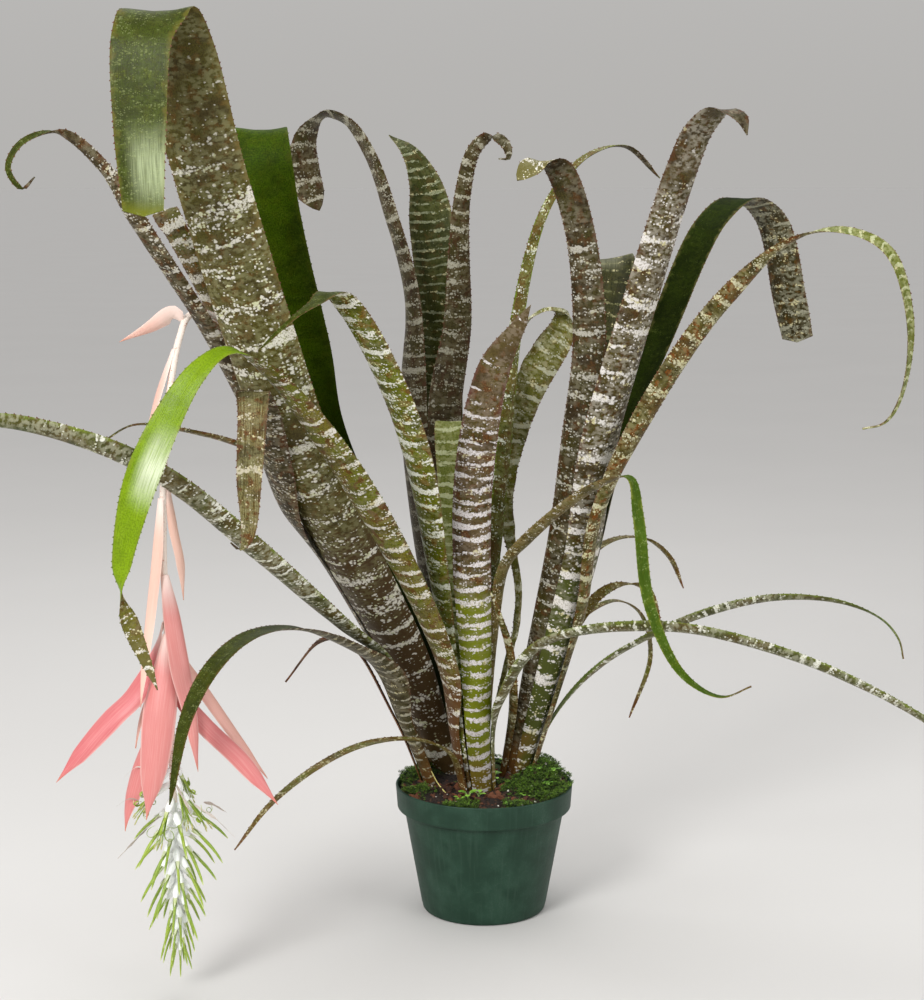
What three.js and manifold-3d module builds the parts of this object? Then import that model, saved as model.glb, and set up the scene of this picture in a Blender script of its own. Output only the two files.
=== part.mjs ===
// A potted bromeliad, Billbergia rosea: five tubular rosettes of strap leaves in one plastic pot,
// and a pendent scape of pink bracts that ends in a spike of white ovaries and green petals.
// Millimetres, +Z up. The origin is the centre of the pot's foot, where it stands.
import * as THREE from "three";
import { mergeVertices } from "three/addons/utils/BufferGeometryUtils.js";
import Module from "manifold-3d";

const wasm = await Module();
wasm.setup();

// Driving dimensions of the pot, a six inch azalea pot
const POT_HEIGHT = 110;
const POT_RIM_RADIUS = 76;
const POT_LIP_HEIGHT = 20;
const POT_SHOULDER_RADIUS = 69;
const POT_FOOT_RADIUS = 53;
const POT_LIP_STEP = 1.5;
const POT_FOOT_BEVEL = 2.0;
const POT_WALL = 2.0;
const POT_FLOOR = 3.0;
const POT_SIDES = 40;

// Soil, heaped towards the middle and the back, with a plain hole for each rosette
const SOIL_EDGE = 104;
const SOIL_CROWN = 5;
const SOIL_HOLE_REACH = 34;
const SOIL_HOLE_SIDES = 20;
const SOIL_RING_SHARES = [0.17, 0.34, 0.5, 0.65, 0.8, 0.92, 1];
const SOIL_RIPPLE_HEIGHT = 0.8;
const SOIL_RIPPLES_ALONG_X = 0.31;
const SOIL_RIPPLES_ALONG_Y = 0.27;
const SEAT_GAP = 0.7;
const FIT_GAP = 0.4;

// Leaves
const LEAF_THICK = 1.3;
const SHEATH_STEP = 2.1;
const STEPS_PER_SPAN = 2;
const RAD = Math.PI / 180;

// Each rosette's tube: centre x, y, z and radius at each level, from the foot to the mouth
const ROSETTES = {
  a: [
    [-26, 38, 96, 14],
    [-43, 24, 155, 18],
    [-64, 2, 225, 24],
    [-108, -64, 335, 30],
    [-142, -114, 422, 33],
  ],
  b: [
    [-4, -12, 94, 14],
    [-10, -15, 160, 19],
    [-13, -19, 225, 24],
  ],
  c: [
    [24, 28, 96, 13],
    [38, 22, 160, 18],
    [52, 14, 225, 23],
    [72, 4, 315, 28],
  ],
  d: [
    [2, 50, 96, 12],
    [-14, 54, 160, 17],
    [-30, 64, 258, 24],
    [-38, 76, 345, 30],
    [-41, 86, 425, 34],
  ],
  e: [
    [-38, 4, 96, 11],
    [-47, -2, 130, 13],
    [-62, -24, 178, 15],
  ],
};

// Each leaf: its rosette, the azimuth that it leans to, its layer in the sheath, how many
// levels of the tube it clasps, the arc that it wraps there, and the rows of its free blade.
// A row is x, y, z, flat width, cup of the section in degrees and turn about the midrib.
const LEAVES = {
  leaf_a1: {
    rosette: "a", azimuth: 262, layer: 0, clasp: 5, wrap: 116, strips: 4,
    blade: [
      [-176, -188, 520, 60, 75, 0],
      [-204, -220, 636, 56, 40, 0],
      [-219, -246, 712, 56, 15, 0],
      [-228, -265, 736, 54, 6, 0],
      [-236, -281, 720, 44, 10, 0],
      [-238, -288, 660, 38, 22, 0],
      [-237, -288, 597, 29, 22, 0],
    ],
  },
  leaf_a2: {
    rosette: "a", azimuth: 250, side: 180, layer: 1, clasp: 4, wrap: 52, strips: 2,
    blade: [
      [-168, -94, 400, 25, 70, -55],
      [-186, -118, 443, 22, 70, -25],
      [-206, -150, 497, 20, 60, -10],
      [-253, -220, 592, 20, 50, -10],
      [-273, -228, 628, 15, 50, -15],
      [-304, -231, 655, 9, 40, 0],
      [-331, -233, 648, 6, 30, 0],
      [-341, -234, 630, 5, 20, 0],
      [-331, -235, 616, 4, 20, 0],
      [-322, -235, 624, 3, 20, 0],
    ],
  },
  leaf_a3: {
    rosette: "a", azimuth: 250, side: 169, layer: 2, clasp: 4, wrap: 52, strips: 4,
    blade: [
      [-163, -86, 411, 22, 60, -55],
      [-189, -112, 469, 21, 50, -20],
      [-207, -134, 524, 22, 45, 0],
      [-238, -157, 592, 21, 16, 0],
      [-244, -148, 600, 18, 8, 0],
      [-243, -137, 590, 14, 12, 0],
    ],
  },
  leaf_a4: {
    rosette: "a", azimuth: 250, side: 192, layer: -1, clasp: 4, wrap: 48, strips: 4,
    blade: [
      [-157, -104, 358, 30, 54, -36],
      [-163, -138, 398, 30, 56, -12],
      [-169, -181, 447, 30, 40, 0],
      [-172, -209, 468, 25, 15, 0],
      [-170, -230, 458, 24, 25, 0],
      [-172, -240, 410, 21, 40, 0],
      [-174, -242, 367, 11, 50, 0],
      [-180, -242, 357, 4, 20, 0],
      [-187, -242, 362, 3, 20, 0],
    ],
  },
  leaf_a5: {
    rosette: "a", azimuth: 82, side: 80, layer: 0, clasp: 5, wrap: 110, strips: 4,
    blade: [
      [-148, -92, 500, 54, 60, 0],
      [-166, -108, 592, 50, 45, 0],
      [-173, -108, 642, 46, 15, 0],
      [-176, -94, 660, 42, 10, 0],
      [-179, -78, 646, 34, 20, 0],
      [-182, -66, 600, 26, 20, 0],
      [-184, -62, 560, 8, 20, 0],
    ],
  },
  leaf_b1: {
    rosette: "b", azimuth: 212, side: 195, layer: 0, clasp: 2, wrap: 76, strips: 4,
    blade: [
      [-37, -52, 226, 36, 90, 0],
      [-105, -155, 395, 32, 70, 26],
      [-165, -218, 487, 24, 50, 8],
      [-187, -236, 501, 14, 15, -20],
      [-209, -248, 485, 18, 20, -38],
      [-245, -258, 417, 26, 35, -50],
      [-263, -260, 350, 15, 30, -50],
      [-264, -260, 328, 8, 10, 20],
      [-258, -260, 305, 13, 20, 110],
      [-240, -257, 256, 4, 10, 140],
    ],
  },
  leaf_b2: {
    rosette: "b", azimuth: 235, side: 213, layer: 2, clasp: 3, wrap: 56, strips: 4,
    blade: [
      [-40, -48, 289, 27, 80, -14],
      [-60, -118, 422, 30, 60, 0],
      [-97, -176, 517, 29, 40, 0],
      [-114, -192, 540, 26, 10, 0],
      [-126, -206, 533, 14, 20, 0],
      [-140, -216, 524, 6, 20, 0],
      [-165, -226, 501, 3, 10, 0],
    ],
  },
  leaf_b3: {
    rosette: "b", azimuth: 280, side: 287, layer: 0, clasp: 3, wrap: 68, strips: 4,
    blade: [
      [-10, -46, 312, 34, 70, 0],
      [-8, -54, 389, 34, 60, 0],
      [7, -63, 471, 28, 50, 0],
      [27, -68, 508, 12, 30, 0],
      [36, -68, 524, 4, 10, 0],
    ],
  },
  leaf_b4: {
    rosette: "b", azimuth: 40, side: 36, layer: 2, clasp: 3, wrap: 56, strips: 2,
    blade: [
      [18, -2, 398, 20, 70, 0],
      [29, 8, 507, 18, 70, 0],
      [51, 20, 596, 13, 60, 0],
      [84, 30, 641, 10, 40, 0],
      [118, 38, 650, 9, 30, 0],
      [148, 43, 624, 5, 20, 0],
    ],
  },
  leaf_b5: {
    rosette: "b", azimuth: 95, layer: 0, clasp: 3, wrap: 110, strips: 4,
    blade: [
      [-19, 19, 299, 42, 70, 0],
      [-22, 27, 368, 38, 50, 0],
      [-26, 34, 410, 34, 15, 0],
      [-28, 42, 417, 28, 15, 0],
      [-29, 48, 400, 16, 20, 0],
    ],
  },
  leaf_b6: {
    rosette: "b", azimuth: 20, layer: 0, clasp: 2, wrap: 26, strips: 2,
    blade: [
      [30, 8, 267, 12, 60, 0],
      [18, 13, 355, 16, 60, 50],
      [26, 13, 425, 30, 60, 75],
      [50, 7, 476, 32, 80, 80],
      [66, 0, 500, 26, 80, 50],
      [66, -6, 514, 20, 60, 10],
      [52, -10, 518, 15, 40, 0],
      [38, -11, 511, 8, 30, 0],
      [31, -11, 501, 3, 20, 0],
    ],
  },
  leaf_b8: {
    rosette: "b", azimuth: 325, side: 339, layer: 2, clasp: 2, wrap: 36, strips: 2,
    blade: [
      [11, -24, 262, 16, 80, 0],
      [17, -38, 303, 17, 80, -5],
      [34, -58, 330, 18, 70, -15],
      [83, -97, 378, 17, 60, -15],
      [112, -112, 391, 11, 30, 0],
      [119, -117, 360, 12, 40, 20],
      [129, -122, 289, 11, 40, 25],
      [156, -121, 234, 9, 30, 10],
      [188, -117, 215, 5, 20, 0],
      [212, -114, 223, 3, 10, 0],
    ],
  },
  leaf_b9: {
    rosette: "b", azimuth: 338, side: 345, layer: 0, clasp: 2, wrap: 34, strips: 4,
    blade: [
      [17, -44, 196, 24, 78, 0],
      [49, -76, 248, 26, 90, -10],
      [140, -98, 265, 28, 110, -20],
      [234, -112, 248, 28, 110, -20],
      [347, -130, 198, 24, 90, -15],
      [420, -142, 138, 13, 60, 0],
      [446, -146, 98, 4, 20, 0],
    ],
  },
  leaf_b10: {
    rosette: "b", azimuth: 212, layer: -1, clasp: 1, wrap: 32, strips: 2,
    blade: [
      [-22, -24, 124, 11, 50, 0],
      [-31, -44, 149, 11, 60, 0],
      [-54, -70, 166, 12, 60, 0],
      [-93, -100, 172, 12, 50, 0],
      [-132, -130, 162, 11, 40, 0],
      [-170, -155, 137, 8, 30, 0],
      [-196, -173, 107, 3, 10, 0],
    ],
  },
  leaf_c1: {
    rosette: "c", azimuth: 300, layer: 1, clasp: 4, wrap: 86, strips: 4,
    blade: [
      [96, -42, 405, 40, 70, 0],
      [124, -66, 521, 36, 50, 0],
      [153, -88, 628, 32, 30, 0],
      [166, -97, 662, 30, 15, 0],
      [180, -106, 675, 26, 6, 0],
      [194, -114, 669, 16, 20, 0],
      [199, -118, 656, 6, 20, 0],
    ],
  },
  leaf_c2: {
    rosette: "c", azimuth: 252, layer: 2, clasp: 4, wrap: 80, strips: 4,
    blade: [
      [76, -42, 410, 32, 60, 0],
      [83, -54, 494, 29, 50, 0],
      [74, -63, 583, 25, 35, 0],
      [56, -71, 632, 24, 10, 0],
      [42, -79, 636, 23, 15, 0],
      [24, -88, 622, 19, 25, 0],
    ],
  },
  leaf_c3: {
    rosette: "c", azimuth: 55, side: 20, layer: 1, clasp: 4, wrap: 56, strips: 4,
    blade: [
      [113, 27, 392, 28, 60, -15],
      [158, 84, 493, 31, 60, 0],
      [203, 130, 584, 33, 35, 0],
      [232, 151, 606, 33, 10, 0],
      [262, 174, 586, 34, 25, 0],
      [282, 189, 515, 35, 35, 0],
      [292, 193, 474, 32, 35, 0],
    ],
  },
  leaf_c4: {
    rosette: "c", azimuth: 330, side: 325, layer: -1, clasp: 3, wrap: 24, strips: 2,
    blade: [
      [85, -13, 270, 19, 70, -5],
      [94, -34, 345, 20, 80, -12],
      [137, -58, 447, 22, 60, -35],
      [190, -74, 528, 20, 50, -35],
      [242, -86, 576, 13, 40, -10],
      [280, -92, 583, 12, 30, 25],
      [314, -95, 567, 12, 30, 25],
      [332, -96, 514, 12, 40, 12],
      [329, -94, 457, 9, 30, 0],
      [316, -92, 432, 6, 20, 0],
      [299, -90, 427, 3, 10, 0],
    ],
  },
  leaf_c5: {
    rosette: "c", azimuth: 345, side: 365, layer: -1, clasp: 2, wrap: 26, strips: 2,
    blade: [
      [105, -26, 223, 22, 75, 0],
      [170, -44, 261, 22, 95, -15],
      [235, -52, 280, 20, 90, -20],
      [290, -55, 279, 14, 60, -20],
      [325, -57, 266, 9, 40, -10],
      [341, -57, 248, 5, 20, 0],
      [345, -57, 232, 3, 10, 0],
    ],
  },
  leaf_c6: {
    rosette: "c", azimuth: 85, side: 92, layer: 2, clasp: 4, wrap: 56, strips: 4,
    blade: [
      [92, 50, 420, 28, 60, 0],
      [108, 60, 512, 36, 40, 0],
      [113, 68, 548, 36, 15, -6],
      [114, 78, 556, 30, 15, -10],
      [118, 90, 528, 20, 20, -14],
    ],
  },
  leaf_c7: {
    rosette: "c", azimuth: 40, side: 46, layer: 0, clasp: 2, wrap: 24, strips: 2,
    blade: [
      [78, 58, 272, 11, 60, 0],
      [97, 68, 299, 11, 50, 0],
      [122, 78, 310, 10, 40, 0],
      [146, 84, 307, 10, 40, 0],
      [166, 88, 290, 8, 30, 0],
      [179, 90, 262, 3, 10, 0],
    ],
  },
  leaf_c8: {
    rosette: "c", azimuth: 75, layer: 0, clasp: 2, wrap: 30, strips: 2,
    blade: [
      [69, 52, 215, 10, 60, 0],
      [102, 64, 261, 10, 50, 0],
      [125, 69, 270, 9, 40, 0],
      [144, 72, 265, 8, 40, 0],
      [159, 76, 225, 3, 20, 0],
    ],
  },
  leaf_c9: {
    rosette: "c", azimuth: 25, side: 110, layer: 0, clasp: 2, wrap: 34, strips: 2,
    blade: [
      [62, 66, 205, 10, 60, 0],
      [90, 76, 240, 10, 40, 0],
      [118, 84, 252, 10, 24, 0],
      [140, 88, 240, 9, 20, 0],
      [150, 90, 200, 8, 20, 0],
      [132, 90, 143, 3, 10, 0],
    ],
  },
  leaf_c10: {
    rosette: "c", azimuth: 230, side: 215, layer: 0, clasp: 2, wrap: 34, strips: 2,
    blade: [
      [24, -14, 200, 9, 50, 0],
      [20, -32, 236, 9, 40, 0],
      [12, -44, 264, 7, 40, 0],
      [4, -48, 288, 4, 30, 0],
    ],
  },
  leaf_d1: {
    rosette: "d", azimuth: 205, layer: 1, clasp: 5, wrap: 100, strips: 4,
    blade: [
      [-66, 84, 520, 34, 60, 0],
      [-83, 88, 593, 31, 40, 0],
      [-100, 90, 645, 28, 20, 0],
      [-118, 92, 672, 26, 6, 0],
      [-138, 96, 678, 24, 10, 20],
      [-154, 100, 660, 30, 15, 60],
      [-155, 105, 628, 34, 30, 75],
      [-144, 106, 596, 22, 25, 75],
    ],
  },
  leaf_d2: {
    rosette: "d", azimuth: 285, layer: 1, clasp: 5, wrap: 56, strips: 2,
    blade: [
      [-22, 66, 500, 26, 60, 0],
      [-21, 64, 560, 20, 60, 0],
      [-18, 62, 610, 15, 50, 0],
      [-8, 57, 648, 13, 40, 0],
      [6, 54, 659, 12, 30, 0],
      [18, 52, 652, 9, 20, 0],
      [20, 51, 641, 6, 20, 0],
      [12, 51, 640, 4, 10, 0],
    ],
  },
  leaf_d3: {
    rosette: "d", azimuth: 95, layer: 1, clasp: 5, wrap: 100, strips: 4,
    blade: [
      [-40, 116, 520, 42, 50, 0],
      [-46, 121, 581, 40, 35, 0],
      [-52, 127, 620, 32, 15, 20],
      [-66, 134, 648, 20, 6, 30],
      [-84, 140, 662, 6, 6, 30],
    ],
  },
  leaf_d4: {
    rosette: "d", azimuth: 205, layer: 0, clasp: 2, wrap: 40, strips: 2,
    blade: [
      [-56, 42, 244, 13, 60, 0],
      [-107, 35, 324, 13, 60, 15],
      [-188, 8, 393, 12, 50, 25],
      [-251, -18, 417, 9, 40, 25],
      [-290, -31, 423, 6, 30, 15],
      [-314, -36, 410, 3, 10, 0],
    ],
  },
  leaf_e1: {
    rosette: "e", azimuth: 235, layer: 1, clasp: 3, wrap: 80, strips: 4,
    blade: [
      [-82, -64, 221, 34, 76, 0],
      [-109, -96, 250, 28, 56, 0],
      [-146, -132, 273, 23, 40, 0],
      [-180, -182, 279, 20, 30, 0],
      [-205, -220, 262, 18, 30, 0],
      [-222, -240, 229, 13, 30, 0],
      [-235, -246, 166, 4, 10, 0],
    ],
  },
  leaf_e2: {
    rosette: "e", azimuth: 210, side: 215, layer: 2, clasp: 3, wrap: 80, strips: 4,
    blade: [
      [-83, -58, 230, 22, 90, 0],
      [-113, -92, 263, 25, 90, 15],
      [-187, -180, 353, 26, 80, 32],
      [-236, -220, 403, 26, 80, 32],
      [-281, -237, 429, 27, 95, 28],
      [-350, -246, 448, 26, 110, 22],
      [-392, -249, 447, 16, 70, 10],
      [-418, -250, 436, 4, 20, 0],
    ],
  },
  leaf_e3: {
    rosette: "e", azimuth: 182, layer: 0, clasp: 3, wrap: 40, strips: 2,
    blade: [
      [-112, -62, 246, 12, 50, 0],
      [-134, -88, 253, 11, 40, 0],
      [-160, -112, 226, 3, 20, 0],
    ],
  },
};

const group = new THREE.Group();

// A mesh named for its node.
function addPiece(name, geometry, material) {
  const mesh = new THREE.Mesh(geometry, material);
  mesh.name = name;
  group.add(mesh);
  return mesh;
}

function indexedGeometry(points, faces) {
  const geometry = new THREE.BufferGeometry();
  geometry.setAttribute("position", new THREE.Float32BufferAttribute(points.flat(), 3));
  geometry.setIndex(faces.flat());
  return geometry;
}

const lerp = (a, b, t) => a + (b - a) * t;

// The frame of a blade at a tangent: its width axis and the way its inner face looks.
function bladeAxes(tangent, azimuth, turn) {
  const flat = new THREE.Vector3(-Math.sin(azimuth * RAD), Math.cos(azimuth * RAD), 0);
  const across = flat.addScaledVector(tangent, -flat.dot(tangent)).normalize();
  const inward = new THREE.Vector3().crossVectors(tangent, across);
  const cos = Math.cos(turn * RAD);
  const sin = Math.sin(turn * RAD);
  return {
    across: across.clone().multiplyScalar(cos).addScaledVector(inward, sin),
    inward: inward.clone().multiplyScalar(cos).addScaledVector(across, -sin),
  };
}

// The rows that a leaf has in its rosette's sheath, all concentric with the tube.
function sheathRows(leaf) {
  const levels = ROSETTES[leaf.rosette];
  const curve = new THREE.CatmullRomCurve3(levels.map(([x, y, z]) => new THREE.Vector3(x, y, z)));
  return levels.slice(0, leaf.clasp).map(([x, y, z, radius], i) => {
    const own = radius - leaf.layer * SHEATH_STEP;
    const tangent = curve.getTangent(i / (levels.length - 1));
    const turn = (leaf.side ?? leaf.azimuth) - leaf.azimuth;
    const { inward } = bladeAxes(tangent, leaf.azimuth, turn);
    const at = new THREE.Vector3(x, y, z).addScaledVector(inward, -own);
    return [at.x, at.y, at.z, own * leaf.wrap * RAD, leaf.wrap, turn];
  });
}

// A blade swept along its rows: a curved section, thick at the midrib and sharp at both margins.
function bladeGeometry(rows, azimuth, strips, thick) {
  const curve = new THREE.CatmullRomCurve3(rows.map(([x, y, z]) => new THREE.Vector3(x, y, z)));
  const spans = rows.length - 1;
  const stations = spans * STEPS_PER_SPAN;
  const points = [];
  for (let s = 0; s <= stations; s++) {
    const t = s / stations;
    const i = Math.min(Math.floor(t * spans), spans - 1);
    const f = t * spans - i;
    const width = lerp(rows[i][3], rows[i + 1][3], f);
    const cup = lerp(rows[i][4], rows[i + 1][4], f) * RAD;
    const turn = lerp(rows[i][5], rows[i + 1][5], f);
    const { across, inward } = bladeAxes(curve.getTangent(t), azimuth, turn);
    const radius = width / cup;
    const at = (angle, lift) =>
      curve
        .getPoint(t)
        .addScaledVector(across, (radius - lift) * Math.sin(angle))
        .addScaledVector(inward, radius - (radius - lift) * Math.cos(angle))
        .toArray();
    for (let k = 0; k <= strips; k++) {
      const inner = k === 0 || k === strips ? 0 : thick / 2;
      points.push(at(cup * (k / strips - 0.5), inner));
    }
    for (let k = strips - 1; k > 0; k--) {
      points.push(at(cup * (k / strips - 0.5), -thick / 2));
    }
  }
  return indexedGeometry(points, sweptFaces(stations, strips));
}

// The faces of a swept blade, with both faces split alike, and its two ends.
function sweptFaces(stations, strips) {
  const ring = 2 * strips;
  const faces = [];
  const inner = (s, k) => s * ring + k;
  const outer = (s, k) => s * ring + ((ring - k) % ring);
  for (let s = 0; s < stations; s++) {
    for (let k = 0; k < strips; k++) {
      faces.push([inner(s, k), inner(s + 1, k + 1), inner(s, k + 1)]);
      faces.push([inner(s, k), inner(s + 1, k), inner(s + 1, k + 1)]);
      const a = k === 0 ? inner(s, 0) : outer(s, k);
      const b = k + 1 === strips ? inner(s, strips) : outer(s, k + 1);
      const c = k + 1 === strips ? inner(s + 1, strips) : outer(s + 1, k + 1);
      const d = k === 0 ? inner(s + 1, 0) : outer(s + 1, k);
      faces.push([a, b, c]);
      faces.push([a, c, d]);
    }
  }
  for (const [s, flip] of [[0, true], [stations, false]]) {
    for (let k = 0; k < strips; k++) {
      const quad = [
        inner(s, k),
        k === 0 ? null : outer(s, k),
        k + 1 === strips ? null : outer(s, k + 1),
        inner(s, k + 1),
      ].filter((v) => v !== null);
      for (let j = 1; j + 1 < quad.length; j++) {
        const face = [quad[0], quad[j], quad[j + 1]];
        faces.push(flip ? face.reverse() : face);
      }
    }
  }
  return faces;
}

// A closed geometry as a manifold solid, and a manifold solid as a geometry.
function solidOf(geometry) {
  const plain = new THREE.BufferGeometry();
  plain.setAttribute("position", geometry.getAttribute("position").clone());
  if (geometry.index) plain.setIndex(geometry.index);
  const merged = mergeVertices(plain, 1e-4);
  const vertProperties = new Float32Array(merged.attributes.position.array);
  const triVerts = new Uint32Array(merged.index.array);
  return new wasm.Manifold(new wasm.Mesh({ numProp: 3, vertProperties, triVerts }));
}

function geometryOf(solid) {
  const { vertProperties, triVerts } = solid.getMesh();
  const geometry = new THREE.BufferGeometry();
  geometry.setAttribute("position", new THREE.BufferAttribute(vertProperties, 3));
  geometry.setIndex(new THREE.BufferAttribute(triVerts, 1));
  return geometry;
}

function material(color, roughness) {
  return new THREE.MeshStandardMaterial({ color, roughness, metalness: 0 });
}

// A cylinder or cone between two points, with its own radius at each.
function rodGeometry(from, to, radiusFrom, radiusTo, sides) {
  const a = new THREE.Vector3(...from);
  const b = new THREE.Vector3(...to);
  const axis = b.clone().sub(a);
  const geometry = new THREE.CylinderGeometry(radiusTo, radiusFrom, axis.length(), sides);
  const turn = new THREE.Quaternion().setFromUnitVectors(
    new THREE.Vector3(0, 1, 0),
    axis.clone().normalize(),
  );
  geometry.applyQuaternion(turn);
  const middle = a.add(b).multiplyScalar(0.5);
  return geometry.translate(middle.x, middle.y, middle.z);
}

// The pot is one turned wall and floor: a tapered body, a shoulder and a plain lip band.
function potGeometry() {
  const lipFoot = POT_HEIGHT - POT_LIP_HEIGHT;
  const lipRadius = POT_RIM_RADIUS - POT_LIP_STEP;
  const profile = [
    [0, 0],
    [POT_FOOT_RADIUS - POT_FOOT_BEVEL, 0],
    [POT_FOOT_RADIUS, POT_FOOT_BEVEL],
    [POT_SHOULDER_RADIUS, lipFoot],
    [lipRadius, lipFoot],
    [POT_RIM_RADIUS, POT_HEIGHT],
    [POT_RIM_RADIUS - POT_WALL, POT_HEIGHT],
    [lipRadius - POT_WALL, lipFoot + 2 * POT_WALL],
    [POT_SHOULDER_RADIUS - POT_WALL, lipFoot + POT_WALL / 2],
    [POT_FOOT_RADIUS - POT_WALL, POT_FLOOR],
    [0, POT_FLOOR],
  ];
  const outline = profile.map(([r, z]) => new THREE.Vector2(r, z));
  return new THREE.LatheGeometry(outline, POT_SIDES).rotateX(Math.PI / 2);
}

// Mounds of moss and bark on the soil: x, y, rise and spread
const MOUNDS = [
  [-48, 22, 8, 20],
  [50, 30, 12, 22],
  [54, 2, 7, 18],
  [-46, -28, 4, 20],
  [0, -52, 2, 16],
];

function soilHeight(x, y) {
  const r2 = (x * x + y * y) / (POT_RIM_RADIUS * POT_RIM_RADIUS);
  let z = SOIL_EDGE + SOIL_CROWN * (1 - r2);
  for (const [mx, my, rise, spread] of MOUNDS) {
    z += rise * Math.exp(-((x - mx) ** 2 + (y - my) ** 2) / (spread * spread));
  }
  const ripple = Math.sin(x * SOIL_RIPPLES_ALONG_X + 1) * Math.cos(y * SOIL_RIPPLES_ALONG_Y);
  return z + SOIL_RIPPLE_HEIGHT * ripple * (1 - r2);
}

// The soil fills the pot: its top is a grid of rings, and its side follows the pot's wall.
function soilSolid() {
  const lipFoot = POT_HEIGHT - POT_LIP_HEIGHT;
  const edge = POT_RIM_RADIUS - POT_LIP_STEP - POT_WALL - FIT_GAP;
  const side = [
    [edge, lipFoot + 2 * POT_WALL + 3 * FIT_GAP],
    [POT_SHOULDER_RADIUS - POT_WALL - 2 * FIT_GAP, lipFoot + POT_WALL / 2 + FIT_GAP],
    [POT_FOOT_RADIUS - POT_WALL - 2 * FIT_GAP, POT_FLOOR + FIT_GAP],
  ];
  const rings = SOIL_RING_SHARES.map((share) => share * edge);
  const points = [[0, 0, soilHeight(0, 0)]];
  const around = (r, z) => {
    for (let k = 0; k < POT_SIDES; k++) {
      const angle = (2 * Math.PI * k) / POT_SIDES;
      const x = r * Math.cos(angle);
      const y = r * Math.sin(angle);
      points.push([x, y, z ?? soilHeight(x, y)]);
    }
  };
  rings.forEach((r) => around(r, null));
  side.forEach(([r, z]) => around(r, z));
  points.push([0, 0, POT_FLOOR + FIT_GAP]);
  const bands = rings.length + side.length;
  const at = (ring, k) => 1 + ring * POT_SIDES + (k % POT_SIDES);
  const faces = [];
  for (let k = 0; k < POT_SIDES; k++) {
    faces.push([0, at(0, k), at(0, k + 1)]);
    for (let ring = 0; ring + 1 < bands; ring++) {
      faces.push([at(ring, k), at(ring + 1, k), at(ring + 1, k + 1)]);
      faces.push([at(ring, k), at(ring + 1, k + 1), at(ring, k + 1)]);
    }
    faces.push([points.length - 1, at(bands - 1, k + 1), at(bands - 1, k)]);
  }
  let soil = solidOf(indexedGeometry(points, faces));
  for (const [rosette, levels] of Object.entries(ROSETTES)) {
    soil = soil.subtract(soilHole(rosette, levels));
  }
  return soil;
}

// A plain hole along the foot of a rosette's tube, clear of its outermost leaf.
function soilHole(rosette, [[x0, y0, z0, r0], [x1, y1, z1, r1]]) {
  const layers = Object.values(LEAVES).filter((leaf) => leaf.rosette === rosette);
  const outermost = Math.min(...layers.map((leaf) => leaf.layer));
  const clear = LEAF_THICK / 2 + FIT_GAP - outermost * SHEATH_STEP;
  const lean = [(x1 - x0) / (z1 - z0), (y1 - y0) / (z1 - z0), (r1 - r0) / (z1 - z0)];
  const point = (z) => [x0 + lean[0] * (z - z0), y0 + lean[1] * (z - z0), z];
  const radius = (z) => r0 + clear + lean[2] * (z - z0);
  const low = z0 - SEAT_GAP;
  const high = z0 + SOIL_HOLE_REACH;
  return solidOf(rodGeometry(point(low), point(high), radius(low), radius(high), SOIL_HOLE_SIDES));
}

// The scape: from the floor of the great rosette's hole, over its mouth and straight down
const SCAPE_RADIUS = 2.6;
const SCAPE_END = 152;
const SCAPE_ROUTE = [
  [-26, 38, 96],
  [-43, 24, 155],
  [-66, 4, 225],
  [-104, -58, 325],
  [-142, -114, 418],
  [-169, -128, 466],
  [-193, -134, 503],
  [-211, -143, 521],
  [-225, -156, 521],
  [-231, -168, 505],
  [-235, -180, 481],
  [-239, -188, 445],
  [-242, -192, 401],
  [-243, -193, 340],
  [-241, -193, 270],
  [-240, -193, 200],
  [-239.5, -193, SCAPE_END],
];
const SCAPE_SIDES = 7;
const SCAPE_STEPS = 34;
const scapeCurve = new THREE.CatmullRomCurve3(SCAPE_ROUTE.map((p) => new THREE.Vector3(...p)));

function scapeGeometry() {
  const outline = new THREE.Shape();
  for (let k = 0; k < SCAPE_SIDES; k++) {
    const angle = (2 * Math.PI * k) / SCAPE_SIDES;
    const x = SCAPE_RADIUS * Math.cos(angle);
    const y = SCAPE_RADIUS * Math.sin(angle);
    if (k === 0) outline.moveTo(x, y);
    else outline.lineTo(x, y);
  }
  return new THREE.ExtrudeGeometry(outline, { steps: SCAPE_STEPS, extrudePath: scapeCurve });
}

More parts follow.
